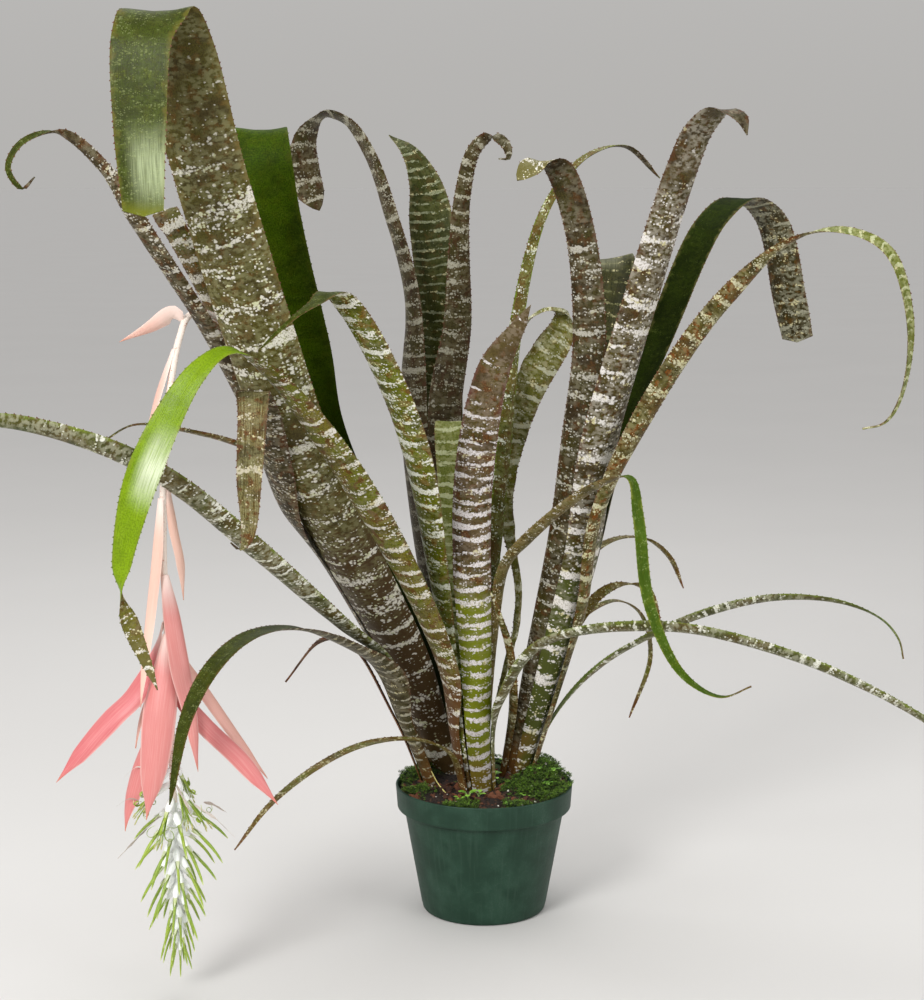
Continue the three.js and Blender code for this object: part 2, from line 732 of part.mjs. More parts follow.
// Bracts of the scape. Each is seated at a height on the hanging part, on the side that the
// angle names, with a clasping foot of its own twist. The azimuth is where its inner face looks.
const BRACT_THICK = 0.9;
const BRACT_GAP = 0.25;
const BRACT_FOOT_WIDTH = 7;
const BRACT_FOOT_CUP = 90;
const SCAPE_SAMPLES = 400;
const SCAPE_HANGS_PAST_X = -222;
const BRACTS = {
  bract_1: {
    seat: 517, side: 190, azimuth: 180, twist: 40,
    blade: [
      [-236, -164, 521, 18, 60, 50],
      [-252, -171, 513, 11, 70, 60],
      [-263, -176, 508, 7, 50, 65],
      [-274, -182, 503, 3, 30, 65],
    ],
  },
  bract_2: {
    seat: 497, side: 200, azimuth: 20, twist: 0,
    blade: [
      [-246.5, -184, 466, 14, 90, 0],
      [-254, -192, 435, 13, 80, 0],
      [-261, -197, 412, 4, 50, 0],
    ],
  },
  bract_3: {
    seat: 388, side: 225, azimuth: 45, twist: 0,
    blade: [
      [-249.5, -197.5, 341, 14, 100, 0],
      [-254, -202, 300, 13, 90, 0],
      [-258, -208, 262, 9, 80, 0],
      [-260, -211, 231, 3, 50, 0],
    ],
  },
  bract_4: {
    seat: 405, side: 10, azimuth: 140, twist: -50,
    blade: [
      [-235, -190, 366, 10, 90, 0],
      [-230, -191, 338, 9, 70, 0],
      [-229, -191, 309, 3, 50, 0],
    ],
  },
  bract_5: {
    seat: 330, side: 290, azimuth: 110, twist: 0,
    blade: [
      [-235.5, -203, 296, 15, 100, 0],
      [-230, -208, 262, 17, 90, 0],
      [-223, -212, 228, 12, 80, 0],
      [-218, -211, 181, 3, 50, 0],
    ],
  },
  bract_6: {
    seat: 283, side: 268, azimuth: 86, twist: 0,
    blade: [
      [-244, -206, 251, 22, 90, 0],
      [-247, -212, 225, 28, 80, 0],
      [-251, -214, 190, 24, 80, 0],
      [-258, -210, 143, 3, 50, 0],
    ],
  },
  bract_7: {
    seat: 292, side: 160, azimuth: 66, twist: 80,
    blade: [
      [-254, -192, 262, 15, 80, 10],
      [-266, -195, 239, 20, 70, 0],
      [-285, -199, 220, 20, 70, 0],
      [-308, -202, 194, 15, 70, 0],
      [-327, -202, 170, 3, 50, 0],
    ],
  },
  bract_8: {
    seat: 262, side: 325, azimuth: 112, twist: -33,
    blade: [
      [-231, -197, 236, 14, 80, -5],
      [-215, -200, 216, 15, 70, 0],
      [-188, -201, 189, 15, 70, 0],
      [-171, -201, 168, 10, 60, 0],
      [-159, -201, 152, 3, 50, 0],
    ],
  },
  bract_9: {
    seat: 279, side: 35, azimuth: 135, twist: -80,
    blade: [
      [-229, -184, 257, 12, 80, -10],
      [-214, -180, 233, 12, 70, 0],
      [-190, -178, 196, 10, 70, 0],
      [-169, -178, 166, 3, 50, 0],
    ],
  },
  bract_10: {
    seat: 240, side: 180, azimuth: 55, twist: 55,
    blade: [
      [-256, -189, 207, 15, 80, 10],
      [-268, -192, 172, 19, 80, 0],
      [-275, -194, 146, 12, 70, 0],
      [-277, -194, 129, 3, 50, 0],
    ],
  },
  bract_11: {
    seat: 268, side: 150, azimuth: 30, twist: 60,
    blade: [
      [-256, -184, 241, 9, 80, 10],
      [-265, -184, 215, 8, 70, 0],
      [-269, -185, 192, 3, 50, 0],
    ],
  },
};

// The row where a bract clasps the scape.
function bractFoot({ seat, side, twist }) {
  const hanging = scapeCurve.getPoints(SCAPE_SAMPLES).filter((point) => point.x < SCAPE_HANGS_PAST_X);
  const nearest = (best, point) => (Math.abs(point.z - seat) < Math.abs(best.z - seat) ? point : best);
  const { x, y, z } = hanging.reduce(nearest);
  const reach = SCAPE_RADIUS + BRACT_THICK / 2 + BRACT_GAP;
  const out = side * RAD;
  const foot = [x + reach * Math.cos(out), y + reach * Math.sin(out), z];
  return [...foot, BRACT_FOOT_WIDTH, BRACT_FOOT_CUP, twist];
}

// The flower spike: a rachis with an ovary and a long closed corolla at each of its knots
const SPIKE_TOP = [-239.5, -193, SCAPE_END - 0.4];
const SPIKE_TIP = [-237, -193, 40];
const SPIKE_RACHIS_RADIUS = 2.4;
const SPIKE_TIP_RADIUS = 1.2;
const SPIKE_RACHIS_SIDES = 8;
const FLOWERS = 26;
const FIRST_KNOT_SHARE = 0.06;
const LAST_KNOT_SHARE = 0.96;
const FIRST_FLOWER_ANGLE = 20;
const TIP_FLOWER_SIZE = 0.62;
const GOLDEN_ANGLE = 137.5;
const OVARY_LENGTH = 12;
const OVARY_RADIUS = 2.5;
const COROLLA_LENGTH = 34;
const COROLLA_RADIUS = 1.5;
const FLOWER_SIDES = 5;
const FLOWER_SPREAD_TOP = 60;
const FLOWER_SPREAD_TIP = 14;

// One flower: a fat mealy ovary, and a needle of petals that carries on from it.
function flowerSolid(at, direction, size) {
  const profile = [
    [0, 0],
    [OVARY_RADIUS * 0.6, 0.5],
    [OVARY_RADIUS, OVARY_LENGTH * 0.5],
    [COROLLA_RADIUS, OVARY_LENGTH],
    [COROLLA_RADIUS, OVARY_LENGTH + COROLLA_LENGTH * 0.6],
    [0, OVARY_LENGTH + COROLLA_LENGTH],
  ];
  const outline = profile.map(([r, y]) => new THREE.Vector2(r, y * size));
  const turn = new THREE.Quaternion().setFromUnitVectors(
    new THREE.Vector3(0, 1, 0),
    new THREE.Vector3(...direction),
  );
  const flower = new THREE.LatheGeometry(outline, FLOWER_SIDES).applyQuaternion(turn);
  return solidOf(flower.translate(...at));
}

function spikeSolid() {
  let spike = solidOf(
    rodGeometry(SPIKE_TOP, SPIKE_TIP, SPIKE_RACHIS_RADIUS, SPIKE_TIP_RADIUS, SPIKE_RACHIS_SIDES),
  );
  for (let n = 0; n < FLOWERS; n++) {
    const share = (n + 0.5) / FLOWERS;
    const knot = lerp(FIRST_KNOT_SHARE, LAST_KNOT_SHARE, share);
    const at = SPIKE_TOP.map((value, i) => lerp(value, SPIKE_TIP[i], knot));
    const spread = lerp(FLOWER_SPREAD_TOP, FLOWER_SPREAD_TIP, share) * RAD;
    const around = (n * GOLDEN_ANGLE + FIRST_FLOWER_ANGLE) * RAD;
    const direction = [
      Math.sin(spread) * Math.cos(around),
      Math.sin(spread) * Math.sin(around),
      -Math.cos(spread),
    ];
    const size = lerp(1, TIP_FLOWER_SIZE, share * share);
    spike = spike.add(flowerSolid(at, direction, size));
  }
  return spike;
}

const GREEN_LEAF = material(0x7f8a55, 0.55);
const GREY_LEAF = material(0x8c8674, 0.6);
const PINK_BRACT = material(0xf08a86, 0.5);
const PALE_SCAPE = material(0xe9dcd2, 0.6);
const SPIKE_WHITE = material(0xdfe3c8, 0.6);
const POT_GREEN = material(0x1d3a33, 0.5);
const SOIL_BROWN = material(0x4a4a25, 0.95);

function addLeaves() {
  for (const [name, leaf] of Object.entries(LEAVES)) {
    const rows = [...sheathRows(leaf), ...leaf.blade];
    const finish = leaf.strips === 4 ? GREY_LEAF : GREEN_LEAF;
    addPiece(name, bladeGeometry(rows, leaf.azimuth, leaf.strips, LEAF_THICK), finish);
  }
}

function addInflorescence() {
  addPiece("scape", scapeGeometry(), PALE_SCAPE);
  for (const [name, bract] of Object.entries(BRACTS)) {
    const rows = [bractFoot(bract), ...bract.blade];
    addPiece(name, bladeGeometry(rows, bract.azimuth, 4, BRACT_THICK), PINK_BRACT);
  }
  addPiece("flower_spike", geometryOf(spikeSolid()), SPIKE_WHITE);
}

addPiece("pot", potGeometry(), POT_GREEN);
addPiece("soil", geometryOf(soilSolid()), SOIL_BROWN);
addLeaves();
addInflorescence();

export default group;
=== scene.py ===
import itertools
import math
import random

import bpy
import numpy as np
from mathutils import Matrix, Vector, noise


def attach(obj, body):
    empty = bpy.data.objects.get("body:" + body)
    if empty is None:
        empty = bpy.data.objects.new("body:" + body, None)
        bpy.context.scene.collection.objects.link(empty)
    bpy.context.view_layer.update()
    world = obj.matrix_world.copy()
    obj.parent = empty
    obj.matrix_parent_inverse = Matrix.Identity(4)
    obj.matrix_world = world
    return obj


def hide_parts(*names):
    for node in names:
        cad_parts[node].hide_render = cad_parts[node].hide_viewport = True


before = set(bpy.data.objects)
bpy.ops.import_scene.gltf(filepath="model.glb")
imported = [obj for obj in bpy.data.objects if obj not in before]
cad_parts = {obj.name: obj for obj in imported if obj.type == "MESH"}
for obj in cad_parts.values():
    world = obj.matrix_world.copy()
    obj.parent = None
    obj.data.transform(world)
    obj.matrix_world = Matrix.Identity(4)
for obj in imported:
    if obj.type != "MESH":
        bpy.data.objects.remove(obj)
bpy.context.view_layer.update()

MM = 0.001
TURN = 2 * math.pi
UP = np.array([0.0, 0.0, 1.0])

# The camera, in metres, degrees and pixels of the photo
CAMERA_PLACE = (-0.019, -1.7, 0.619)
CAMERA_PITCH = 8.8
CAMERA_FOCAL_PIXELS = 2040.0
PHOTO_HEIGHT_PIXELS = 1000.0
SENSOR = 36.0
FAR = 600.0

# The studio, in metres: each light's place, diameter and power in watts. The tones of its sky and
# far floor are linear.
LIGHT_TARGET = (-0.02, -0.05, 0.36)
LIGHTS = {
    "key": [(-1.1, -1.9, 1.5), 0.9, 42.0],
    "fill": [(1.5, -1.4, 0.8), 1.2, 10.0],
    "top": [(0.1, 0.5, 2.2), 1.4, 16.0],
}
SKY = (0.72, 0.72, 0.725, 1.0)
FAR_FLOOR = (0.462, 0.453, 0.440, 1.0)
HORIZON_RISE = 0.5
FLOOR_REACH = 300.0
FLOOR_DROP = 0.0005

# The pot
POT_HEIGHT = 110.0
POT_RIM_RADIUS = 76.0
POT_LIP_HEIGHT = 20.0
POT_LIP_STEP = 1.5
POT_SHOULDER_RADIUS = 69.0
POT_FOOT_RADIUS = 53.0
POT_WALL = 2.0
POT_FLOOR = 3.0
POT_BASE_RINGS = (0.4, 30.0)
POT_SIDES = 160

# Rounded corners of the pot, as steps of radius and height
FOOT_CORNER = [(-2.2, 0.0), (-0.8, 0.35), (-0.1, 1.4), (0.2, 3.0)]
SHOULDER_CORNER = [(0.1, -0.5), (0.7, 0.0)]
LIP_CORNER = [(-0.7, 0.0), (-0.1, 0.3), (0.15, 1.0)]
RIM_CORNER = [(-0.05, -0.7), (-0.4, -0.15), (-1.0, 0.0), (-1.6, -0.15), (-POT_WALL, -0.8)]

# The soil: its edge lies inside the pot's wall, on a side that starts with two rings of its own
SOIL_EDGE = 104.0
SOIL_CROWN = 5.0
FIT_GAP = 0.4
SOIL_RADIUS = POT_RIM_RADIUS - POT_LIP_STEP - POT_WALL - FIT_GAP
SOIL_LOW_RINGS = [(66.2, 91.6), (SOIL_RADIUS, 95.4)]
SOIL_MIDDLE = 0.6
SOIL_RINGS = 62
SOIL_SIDES = 200

# Mounds of moss and bark on the soil: x, y, rise and spread
MOUNDS = [[-48, 22, 8, 20], [50, 30, 12, 22], [54, 2, 7, 18], [-46, -28, 4, 20], [0, -52, 2, 16]]

# Where moss covers the soil: x, y, reach and strength
MOSS_BEDS = [
    [44, -14, 30, 1.0], [52, 30, 28, 1.0], [62, -30, 18, 0.9], [26, -60, 16, 0.7],
    [-20, -62, 17, 0.75], [-58, -26, 17, 0.7], [-54, 24, 26, 0.85], [-4, 62, 30, 0.9],
]
MOSS_TRIES = 8000
MOSS_REACH = 76.5
MOSS_OVER_RIM = 71.5
MOSS_STAR = 6

# Bark chips and crumbs: every third try is a chip, and straw lies along a curve
LITTER_TRIES = 620
LITTER_REACH = 71.0
ROCK_RADIUS = 1.9
ROCK_EDGE = 2.1
STRAW = [(-45, -22, 126), (-40, -28, 118), (-33, -34, 110.5)]

# Seedlings in the pot: x, y, leaf count, leaf length and height
SEEDLINGS = [
    [-14, -44, 5, 7.0, 7.5], [-5, -40, 4, 5.0, 5.0], [-21, -47, 4, 4.2, 3.5], [8, -8, 6, 6.0, 14.0],
    [60, 6, 5, 4.6, 5.0], [44, 2, 5, 4.4, 5.0], [54, -18, 5, 3.8, 3.5], [34, -38, 4, 3.6, 3.0],
    [-52, 14, 4, 4.6, 4.5], [-60, -16, 4, 3.8, 3.0], [20, -60, 3, 3.4, 3.0], [-38, 40, 4, 5.0, 6.0],
    [20, 66, 5, 5.0, 5.0],
]

# Seeds of the random draws
LEAF_SEED = 11
SPIKE_SEED = 5
LITTER_SEED = 21
MOSS_SEED = 33
SEEDLING_SEED = 8

# Materials of a leaf, by their places on its mesh
INNER, OUTER, TOOTH = range(3)

# Leaves: the blade's thickness and mesh, its ripples, and the teeth along its margins
LEAF_THICK = 1.3
SHEATH_STEP = 2.1
LEAF_STATION = 4.0
LEAF_TIP_TAPER = 14.0
LEAST_CUP = 4.0
STRIP_WIDTH = 2.2
STRIPS = (8, 24)
WAVE = 0.5
SHEATH_WAVE = 0.12
CRUMPLE = 0.35
WAVE_LENGTH = 46.0
CRUMPLE_LENGTH = 13.0
WAVE_START = 80.0
PATTERN_SHIFT = 977.0
TOOTH_SPACING = 5.5
TOOTH_LENGTH = 0.9
TOOTH_WIDTH = 1.1
TOOTH_INSET = 0.5
TOOTH_LEAN = 0.7
TOOTH_RISE = 0.35
TOOTHLESS_FOOT = 30.0
TOOTHLESS_TIP = 12.0
GREEN_LEAVES = ("leaf_a5", "leaf_b1", "leaf_b5", "leaf_b8", "leaf_b9", "leaf_c3", "leaf_c5")
GREEN_TOOTHED = ("bright", "fresh_green", "soft_green", "deep_green")

# Sizes of the patterns on a leaf's face
PATCH_SIZE = 30.0
BLOTCH_SIZE = 8.0
FINE_SIZE = 1.3

# Each rosette's tube: centre x, y, z and radius at each level, from the foot to the mouth
ROSETTES = {
    "a": [
        [-26, 38, 96, 14], [-43, 24, 155, 18], [-64, 2, 225, 24], [-108, -64, 335, 30],
        [-142, -114, 422, 33],
    ],
    "b": [[-4, -12, 94, 14], [-10, -15, 160, 19], [-13, -19, 225, 24]],
    "c": [[24, 28, 96, 13], [38, 22, 160, 18], [52, 14, 225, 23], [72, 4, 315, 28]],
    "d": [[2, 50, 96, 12], [-14, 54, 160, 17], [-30, 64, 258, 24], [-38, 76, 345, 30], [-41, 86, 425, 34]],
    "e": [[-38, 4, 96, 11], [-47, -2, 130, 13], [-62, -24, 178, 15]],
}
ROSETTE_FEET = [(row[0][0], row[0][1], row[0][3] + 3.0) for row in ROSETTES.values()]

# Each leaf as in the CAD model, named after its rosette, with the skins of its outer and inner
# face. A row of the blade is x, y, z, flat width, cup of the section in degrees and turn about the
# midrib.
LEAVES = {
    "leaf_a1": dict(azimuth=262, layer=0, clasp=5, wrap=116, taper=4, outer="giant", inner="flap", blade=[
        [-176, -188, 520, 60, 75, 0], [-204, -220, 636, 56, 40, 0], [-219, -246, 712, 56, 15, 0],
        [-228, -265, 736, 54, 6, 0], [-236, -281, 720, 44, 10, 0], [-238, -288, 660, 38, 22, 0],
        [-237, -288, 597, 29, 22, 0],
    ]),
    "leaf_a2": dict(
        azimuth=250, side=180, layer=1, clasp=4, wrap=52, outer="khaki", inner="grey_green",
        blade=[
            [-168, -94, 400, 25, 70, -55], [-186, -118, 443, 22, 70, -25], [-206, -150, 497, 20, 60, -10],
            [-253, -220, 592, 20, 50, -10], [-273, -228, 628, 15, 50, -15], [-304, -231, 655, 9, 40, 0],
            [-331, -233, 648, 6, 30, 0], [-341, -234, 630, 5, 20, 0], [-331, -235, 616, 4, 20, 0],
            [-322, -235, 624, 3, 20, 0],
        ],
    ),
    "leaf_a3": dict(
        azimuth=250, side=169, layer=2, clasp=4, wrap=52, outer="blotched", inner="grey_green",
        blade=[
            [-163, -86, 411, 22, 60, -55], [-189, -112, 469, 21, 50, -20], [-207, -134, 524, 22, 45, 0],
            [-238, -157, 592, 21, 16, 0], [-244, -148, 600, 18, 8, 0], [-243, -137, 590, 14, 12, 0],
        ],
    ),
    "leaf_a4": dict(azimuth=250, side=192, layer=-1, clasp=4, wrap=48, outer="khaki", inner="dry", blade=[
        [-157, -104, 358, 30, 54, -36], [-163, -138, 398, 30, 56, -12], [-169, -181, 447, 30, 40, 0],
        [-172, -209, 468, 25, 15, 0], [-170, -230, 458, 24, 25, 0], [-172, -240, 410, 21, 40, 0],
        [-174, -242, 367, 11, 50, 0], [-180, -242, 357, 4, 20, 0], [-187, -242, 362, 3, 20, 0],
    ]),
    "leaf_a5": dict(
        azimuth=82, side=80, layer=0, clasp=5, wrap=110, outer="deep_green", inner="deep_green",
        blade=[
            [-148, -92, 500, 54, 60, 0], [-166, -108, 592, 50, 45, 0], [-173, -108, 642, 46, 15, 0],
            [-176, -94, 660, 42, 10, 0], [-179, -78, 646, 34, 20, 0], [-182, -66, 600, 26, 20, 0],
            [-184, -62, 560, 8, 20, 0],
        ],
    ),
    "leaf_b1": dict(azimuth=212, side=195, layer=0, clasp=2, wrap=76, outer="droop", inner="bright", blade=[
        [-37, -52, 226, 36, 90, 0], [-105, -155, 395, 32, 70, 26], [-165, -218, 487, 24, 50, 8],
        [-187, -236, 501, 14, 15, -20], [-209, -248, 485, 18, 20, -38], [-245, -258, 417, 26, 35, -50],
        [-263, -260, 350, 15, 30, -50], [-264, -260, 328, 8, 10, 20], [-258, -260, 305, 13, 20, 110],
        [-240, -257, 256, 4, 10, 140],
    ]),
    "leaf_b2": dict(
        azimuth=235, side=213, layer=2, clasp=3, wrap=56, outer="banded", inner="grey_green",
        blade=[
            [-40, -48, 289, 27, 80, -14], [-60, -118, 422, 30, 60, 0], [-97, -176, 517, 29, 40, 0],
            [-114, -192, 540, 26, 10, 0], [-126, -206, 533, 14, 20, 0], [-140, -216, 524, 6, 20, 0],
            [-165, -226, 501, 3, 10, 0],
        ],
    ),
    "leaf_b3": dict(
        azimuth=280, side=287, layer=0, clasp=3, wrap=68, outer="purple_banded", inner="pale_green",
        blade=[
            [-10, -46, 312, 34, 70, 0], [-8, -54, 389, 34, 60, 0], [7, -63, 471, 28, 50, 0],
            [27, -68, 508, 12, 30, 0], [36, -68, 524, 4, 10, 0],
        ],
    ),
    "leaf_b4": dict(
        azimuth=40, side=36, layer=2, clasp=3, wrap=56, outer="khaki", inner="green_spotted",
        blade=[
            [18, -2, 398, 20, 70, 0], [29, 8, 507, 18, 70, 0], [51, 20, 596, 13, 60, 0],
            [84, 30, 641, 10, 40, 0], [118, 38, 650, 9, 30, 0], [148, 43, 624, 5, 20, 0],
        ],
    ),
    "leaf_b5": dict(azimuth=95, layer=0, clasp=3, wrap=110, outer="pale_green", inner="pale_green", blade=[
        [-19, 19, 299, 42, 70, 0], [-22, 27, 368, 38, 50, 0], [-26, 34, 410, 34, 15, 0],
        [-28, 42, 417, 28, 15, 0], [-29, 48, 400, 16, 20, 0],
    ]),
    "leaf_b6": dict(
        azimuth=20, layer=0, clasp=2, wrap=26, wave=1.6, crumple=1.0, outer="green_banded",
        inner="green_banded",
        blade=[
            [30, 8, 267, 12, 60, 0], [18, 13, 355, 16, 60, 50], [26, 13, 425, 30, 60, 75],
            [50, 7, 476, 32, 80, 80], [66, 0, 500, 26, 80, 50], [66, -6, 514, 20, 60, 10],
            [52, -10, 518, 15, 40, 0], [38, -11, 511, 8, 30, 0], [31, -11, 501, 3, 20, 0],
        ],
    ),
    "leaf_b8": dict(
        azimuth=325, side=339, layer=2, clasp=2, wrap=36, outer="tan", inner="fresh_green",
        blade=[
            [11, -24, 262, 16, 80, 0], [17, -38, 303, 17, 80, -5], [34, -58, 330, 18, 70, -15],
            [83, -97, 378, 17, 60, -15], [112, -112, 391, 11, 30, 0], [119, -117, 360, 12, 40, 20],
            [129, -122, 289, 11, 40, 25], [156, -121, 234, 9, 30, 10], [188, -117, 215, 5, 20, 0],
            [212, -114, 223, 3, 10, 0],
        ],
    ),
    "leaf_b9": dict(
        azimuth=338, side=345, layer=0, clasp=2, wrap=34, outer="mottled", inner="soft_green",
        blade=[
            [17, -44, 196, 24, 78, 0], [49, -76, 248, 26, 90, -10], [140, -98, 265, 28, 110, -20],
            [234, -112, 248, 28, 110, -20], [347, -130, 198, 24, 90, -15], [420, -142, 138, 13, 60, 0],
            [446, -146, 98, 4, 20, 0],
        ],
    ),
    "leaf_b10": dict(azimuth=212, layer=-1, clasp=1, wrap=32, outer="thin_olive", inner="thin_olive", blade=[
        [-22, -24, 124, 11, 50, 0], [-31, -44, 149, 11, 60, 0], [-54, -70, 166, 12, 60, 0],
        [-93, -100, 172, 12, 50, 0], [-132, -130, 162, 11, 40, 0], [-170, -155, 137, 8, 30, 0],
        [-196, -173, 107, 3, 10, 0],
    ]),
    "leaf_c1": dict(azimuth=300, layer=1, clasp=4, wrap=86, outer="taupe", inner="khaki", blade=[
        [96, -42, 405, 40, 70, 0], [124, -66, 521, 36, 50, 0], [153, -88, 628, 32, 30, 0],
        [166, -97, 662, 30, 15, 0], [180, -106, 675, 26, 6, 0], [194, -114, 669, 16, 20, 0],
        [199, -118, 656, 6, 20, 0],
    ]),
    "leaf_c2": dict(azimuth=252, layer=2, clasp=4, wrap=80, outer="smoky", inner="droop", blade=[
        [76, -42, 410, 32, 60, 0], [83, -54, 494, 29, 50, 0], [74, -63, 583, 25, 35, 0],
        [56, -71, 632, 24, 10, 0], [42, -79, 636, 23, 15, 0], [24, -88, 622, 19, 25, 0],
    ]),
    "leaf_c3": dict(
        azimuth=55, side=20, layer=1, clasp=4, wrap=56, taper=3, outer="rust_banded", inner="dark_green",
        blade=[
            [113, 27, 392, 28, 60, -15], [158, 84, 493, 31, 60, 0], [203, 130, 584, 33, 35, 0],
            [232, 151, 606, 33, 10, 0], [262, 174, 586, 34, 25, 0], [282, 189, 515, 35, 35, 0],
            [292, 193, 474, 32, 35, 0],
        ],
    ),
    "leaf_c4": dict(
        azimuth=330, side=325, layer=-1, clasp=3, wrap=24, outer="rusty", inner="pale_green",
        blade=[
            [85, -13, 270, 19, 70, -5], [94, -34, 345, 20, 80, -12], [137, -58, 447, 22, 60, -35],
            [190, -74, 528, 20, 50, -35], [242, -86, 576, 13, 40, -10], [280, -92, 583, 12, 30, 25],
            [314, -95, 567, 12, 30, 25], [332, -96, 514, 12, 40, 12], [329, -94, 457, 9, 30, 0],
            [316, -92, 432, 6, 20, 0], [299, -90, 427, 3, 10, 0],
        ],
    ),
    "leaf_c5": dict(
        azimuth=345, side=365, layer=-1, clasp=2, wrap=26, outer="mottled", inner="soft_green",
        blade=[
            [105, -26, 223, 22, 75, 0], [170, -44, 261, 22, 95, -15], [235, -52, 280, 20, 90, -20],
            [290, -55, 279, 14, 60, -20], [325, -57, 266, 9, 40, -10], [341, -57, 248, 5, 20, 0],
            [345, -57, 232, 3, 10, 0],
        ],
    ),
    "leaf_c6": dict(
        azimuth=85, side=92, layer=2, clasp=4, wrap=56, outer="shaded_green", inner="shaded_green",
        blade=[
            [92, 50, 420, 28, 60, 0], [108, 60, 512, 36, 40, 0], [113, 68, 548, 36, 15, -6],
            [114, 78, 556, 30, 15, -10], [118, 90, 528, 20, 20, -14],
        ],
    ),
    "leaf_c7": dict(
        azimuth=40, side=46, layer=0, clasp=2, wrap=24, outer="thin_olive", inner="thin_olive",
        blade=[
            [78, 58, 272, 11, 60, 0], [97, 68, 299, 11, 50, 0], [122, 78, 310, 10, 40, 0],
            [146, 84, 307, 10, 40, 0], [166, 88, 290, 8, 30, 0], [179, 90, 262, 3, 10, 0],
        ],
    ),
    "leaf_c8": dict(azimuth=75, layer=0, clasp=2, wrap=30, outer="thin_olive", inner="thin_olive", blade=[
        [69, 52, 215, 10, 60, 0], [102, 64, 261, 10, 50, 0], [125, 69, 270, 9, 40, 0],
        [144, 72, 265, 8, 40, 0], [159, 76, 225, 3, 20, 0],
    ]),
    "leaf_c9": dict(
        azimuth=25, side=110, layer=0, clasp=2, wrap=34, outer="thin_olive", inner="thin_olive",
        blade=[
            [62, 66, 205, 10, 60, 0], [90, 76, 240, 10, 40, 0], [118, 84, 252, 10, 24, 0],
            [140, 88, 240, 9, 20, 0], [150, 90, 200, 8, 20, 0], [132, 90, 143, 3, 10, 0],
        ],
    ),
    "leaf_c10": dict(azimuth=230, side=215, layer=0, clasp=2, wrap=34, outer="rusty", inner="rusty", blade=[
        [24, -14, 200, 9, 50, 0], [20, -32, 236, 9, 40, 0], [12, -44, 264, 7, 40, 0],
        [4, -48, 288, 4, 30, 0],
    ]),
    "leaf_d1": dict(azimuth=205, layer=1, clasp=5, wrap=100, outer="shaded", inner="cross_lined", blade=[
        [-66, 84, 520, 34, 60, 0], [-83, 88, 593, 31, 40, 0], [-100, 90, 645, 28, 20, 0],
        [-118, 92, 672, 26, 6, 0], [-138, 96, 678, 24, 10, 20], [-154, 100, 660, 30, 15, 60],
        [-155, 105, 628, 34, 30, 75], [-144, 106, 596, 22, 25, 75],
    ]),
    "leaf_d2": dict(azimuth=285, layer=1, clasp=5, wrap=56, outer="shaded", inner="greyed", blade=[
        [-22, 66, 500, 26, 60, 0], [-21, 64, 560, 20, 60, 0], [-18, 62, 610, 15, 50, 0],
        [-8, 57, 648, 13, 40, 0], [6, 54, 659, 12, 30, 0], [18, 52, 652, 9, 20, 0],
        [20, 51, 641, 6, 20, 0], [12, 51, 640, 4, 10, 0],
    ]),
    "leaf_d3": dict(
        azimuth=95, layer=1, clasp=5, wrap=100, outer="green_banded", inner="cross_lined",
        blade=[
            [-40, 116, 520, 42, 50, 0], [-46, 121, 581, 40, 35, 0], [-52, 127, 620, 32, 15, 20],
            [-66, 134, 648, 20, 6, 30], [-84, 140, 662, 6, 6, 30],
        ],
    ),
    "leaf_d4": dict(azimuth=205, layer=0, clasp=2, wrap=40, outer="rusty", inner="grey_green", blade=[
        [-56, 42, 244, 13, 60, 0], [-107, 35, 324, 13, 60, 15], [-188, 8, 393, 12, 50, 25],
        [-251, -18, 417, 9, 40, 25], [-290, -31, 423, 6, 30, 15], [-314, -36, 410, 3, 10, 0],
    ]),
    "leaf_e1": dict(azimuth=235, layer=1, clasp=3, wrap=80, outer="greyed", inner="grey_green", blade=[
        [-82, -64, 221, 34, 76, 0], [-109, -96, 250, 28, 56, 0], [-146, -132, 273, 23, 40, 0],
        [-180, -182, 279, 20, 30, 0], [-205, -220, 262, 18, 30, 0], [-222, -240, 229, 13, 30, 0],
        [-235, -246, 166, 4, 10, 0],
    ]),
    "leaf_e2": dict(
        azimuth=210, side=215, layer=2, clasp=3, wrap=80, outer="mottled", inner="grey_green",
        blade=[
            [-83, -58, 230, 22, 90, 0], [-113, -92, 263, 25, 90, 15], [-187, -180, 353, 26, 80, 32],
            [-236, -220, 403, 26, 80, 32], [-281, -237, 429, 27, 95, 28], [-350, -246, 448, 26, 110, 22],
            [-392, -249, 447, 16, 70, 10], [-418, -250, 436, 4, 20, 0],
        ],
    ),
    "leaf_e3": dict(azimuth=182, layer=0, clasp=3, wrap=40, outer="dead", inner="dead", blade=[
        [-112, -62, 246, 12, 50, 0], [-134, -88, 253, 11, 40, 0], [-160, -112, 226, 3, 20, 0],
    ]),
}

# Skins of the leaves: colours, and sizes in millimetres. A share is how much of a layer shows, and
# a higher band_floor leaves fewer bands. Plain green faces start from one skin of their own.
PLAIN_SKIN = dict(
    base=(84, 75, 36), second=(74, 70, 22), second_share=0.85, blotch=(98, 66, 24), blotch_share=0.75,
    shade=(34, 22, 10), shade_share=0.5, grain_share=0.5, line=(116, 106, 60), line_share=0.12,
    edge=(80, 50, 32), edge_share=0.7, foot=(62, 48, 20), foot_reach=45.0, root=(122, 82, 40),
    root_share=0.6, tip=(92, 60, 32), tip_reach=0.0, fade_reach=0.0, deep_shade_reach=0.0, deep_share=0.6,
    highlight_patch=(196, 204, 176), highlight_patch_at=0.0, highlight_patch_reach=40.0, highlight_patch_share=0.6, film=(136, 128, 98),
    film_share=0.4, band=(204, 199, 188), band_spacing=20.0, band_floor=0.9, band_cover=0.9, regular=1.1,
    broken=3.6, drift=1.2, bow=8.0, wavy=3.0, torn=1.7, speck=(198, 190, 144), speck_size=2.8,
    speck_share=0.75, speck_cover=0.95, fringe=0.75, gloss=0.45, shine=0.13, relief=0.4,
)
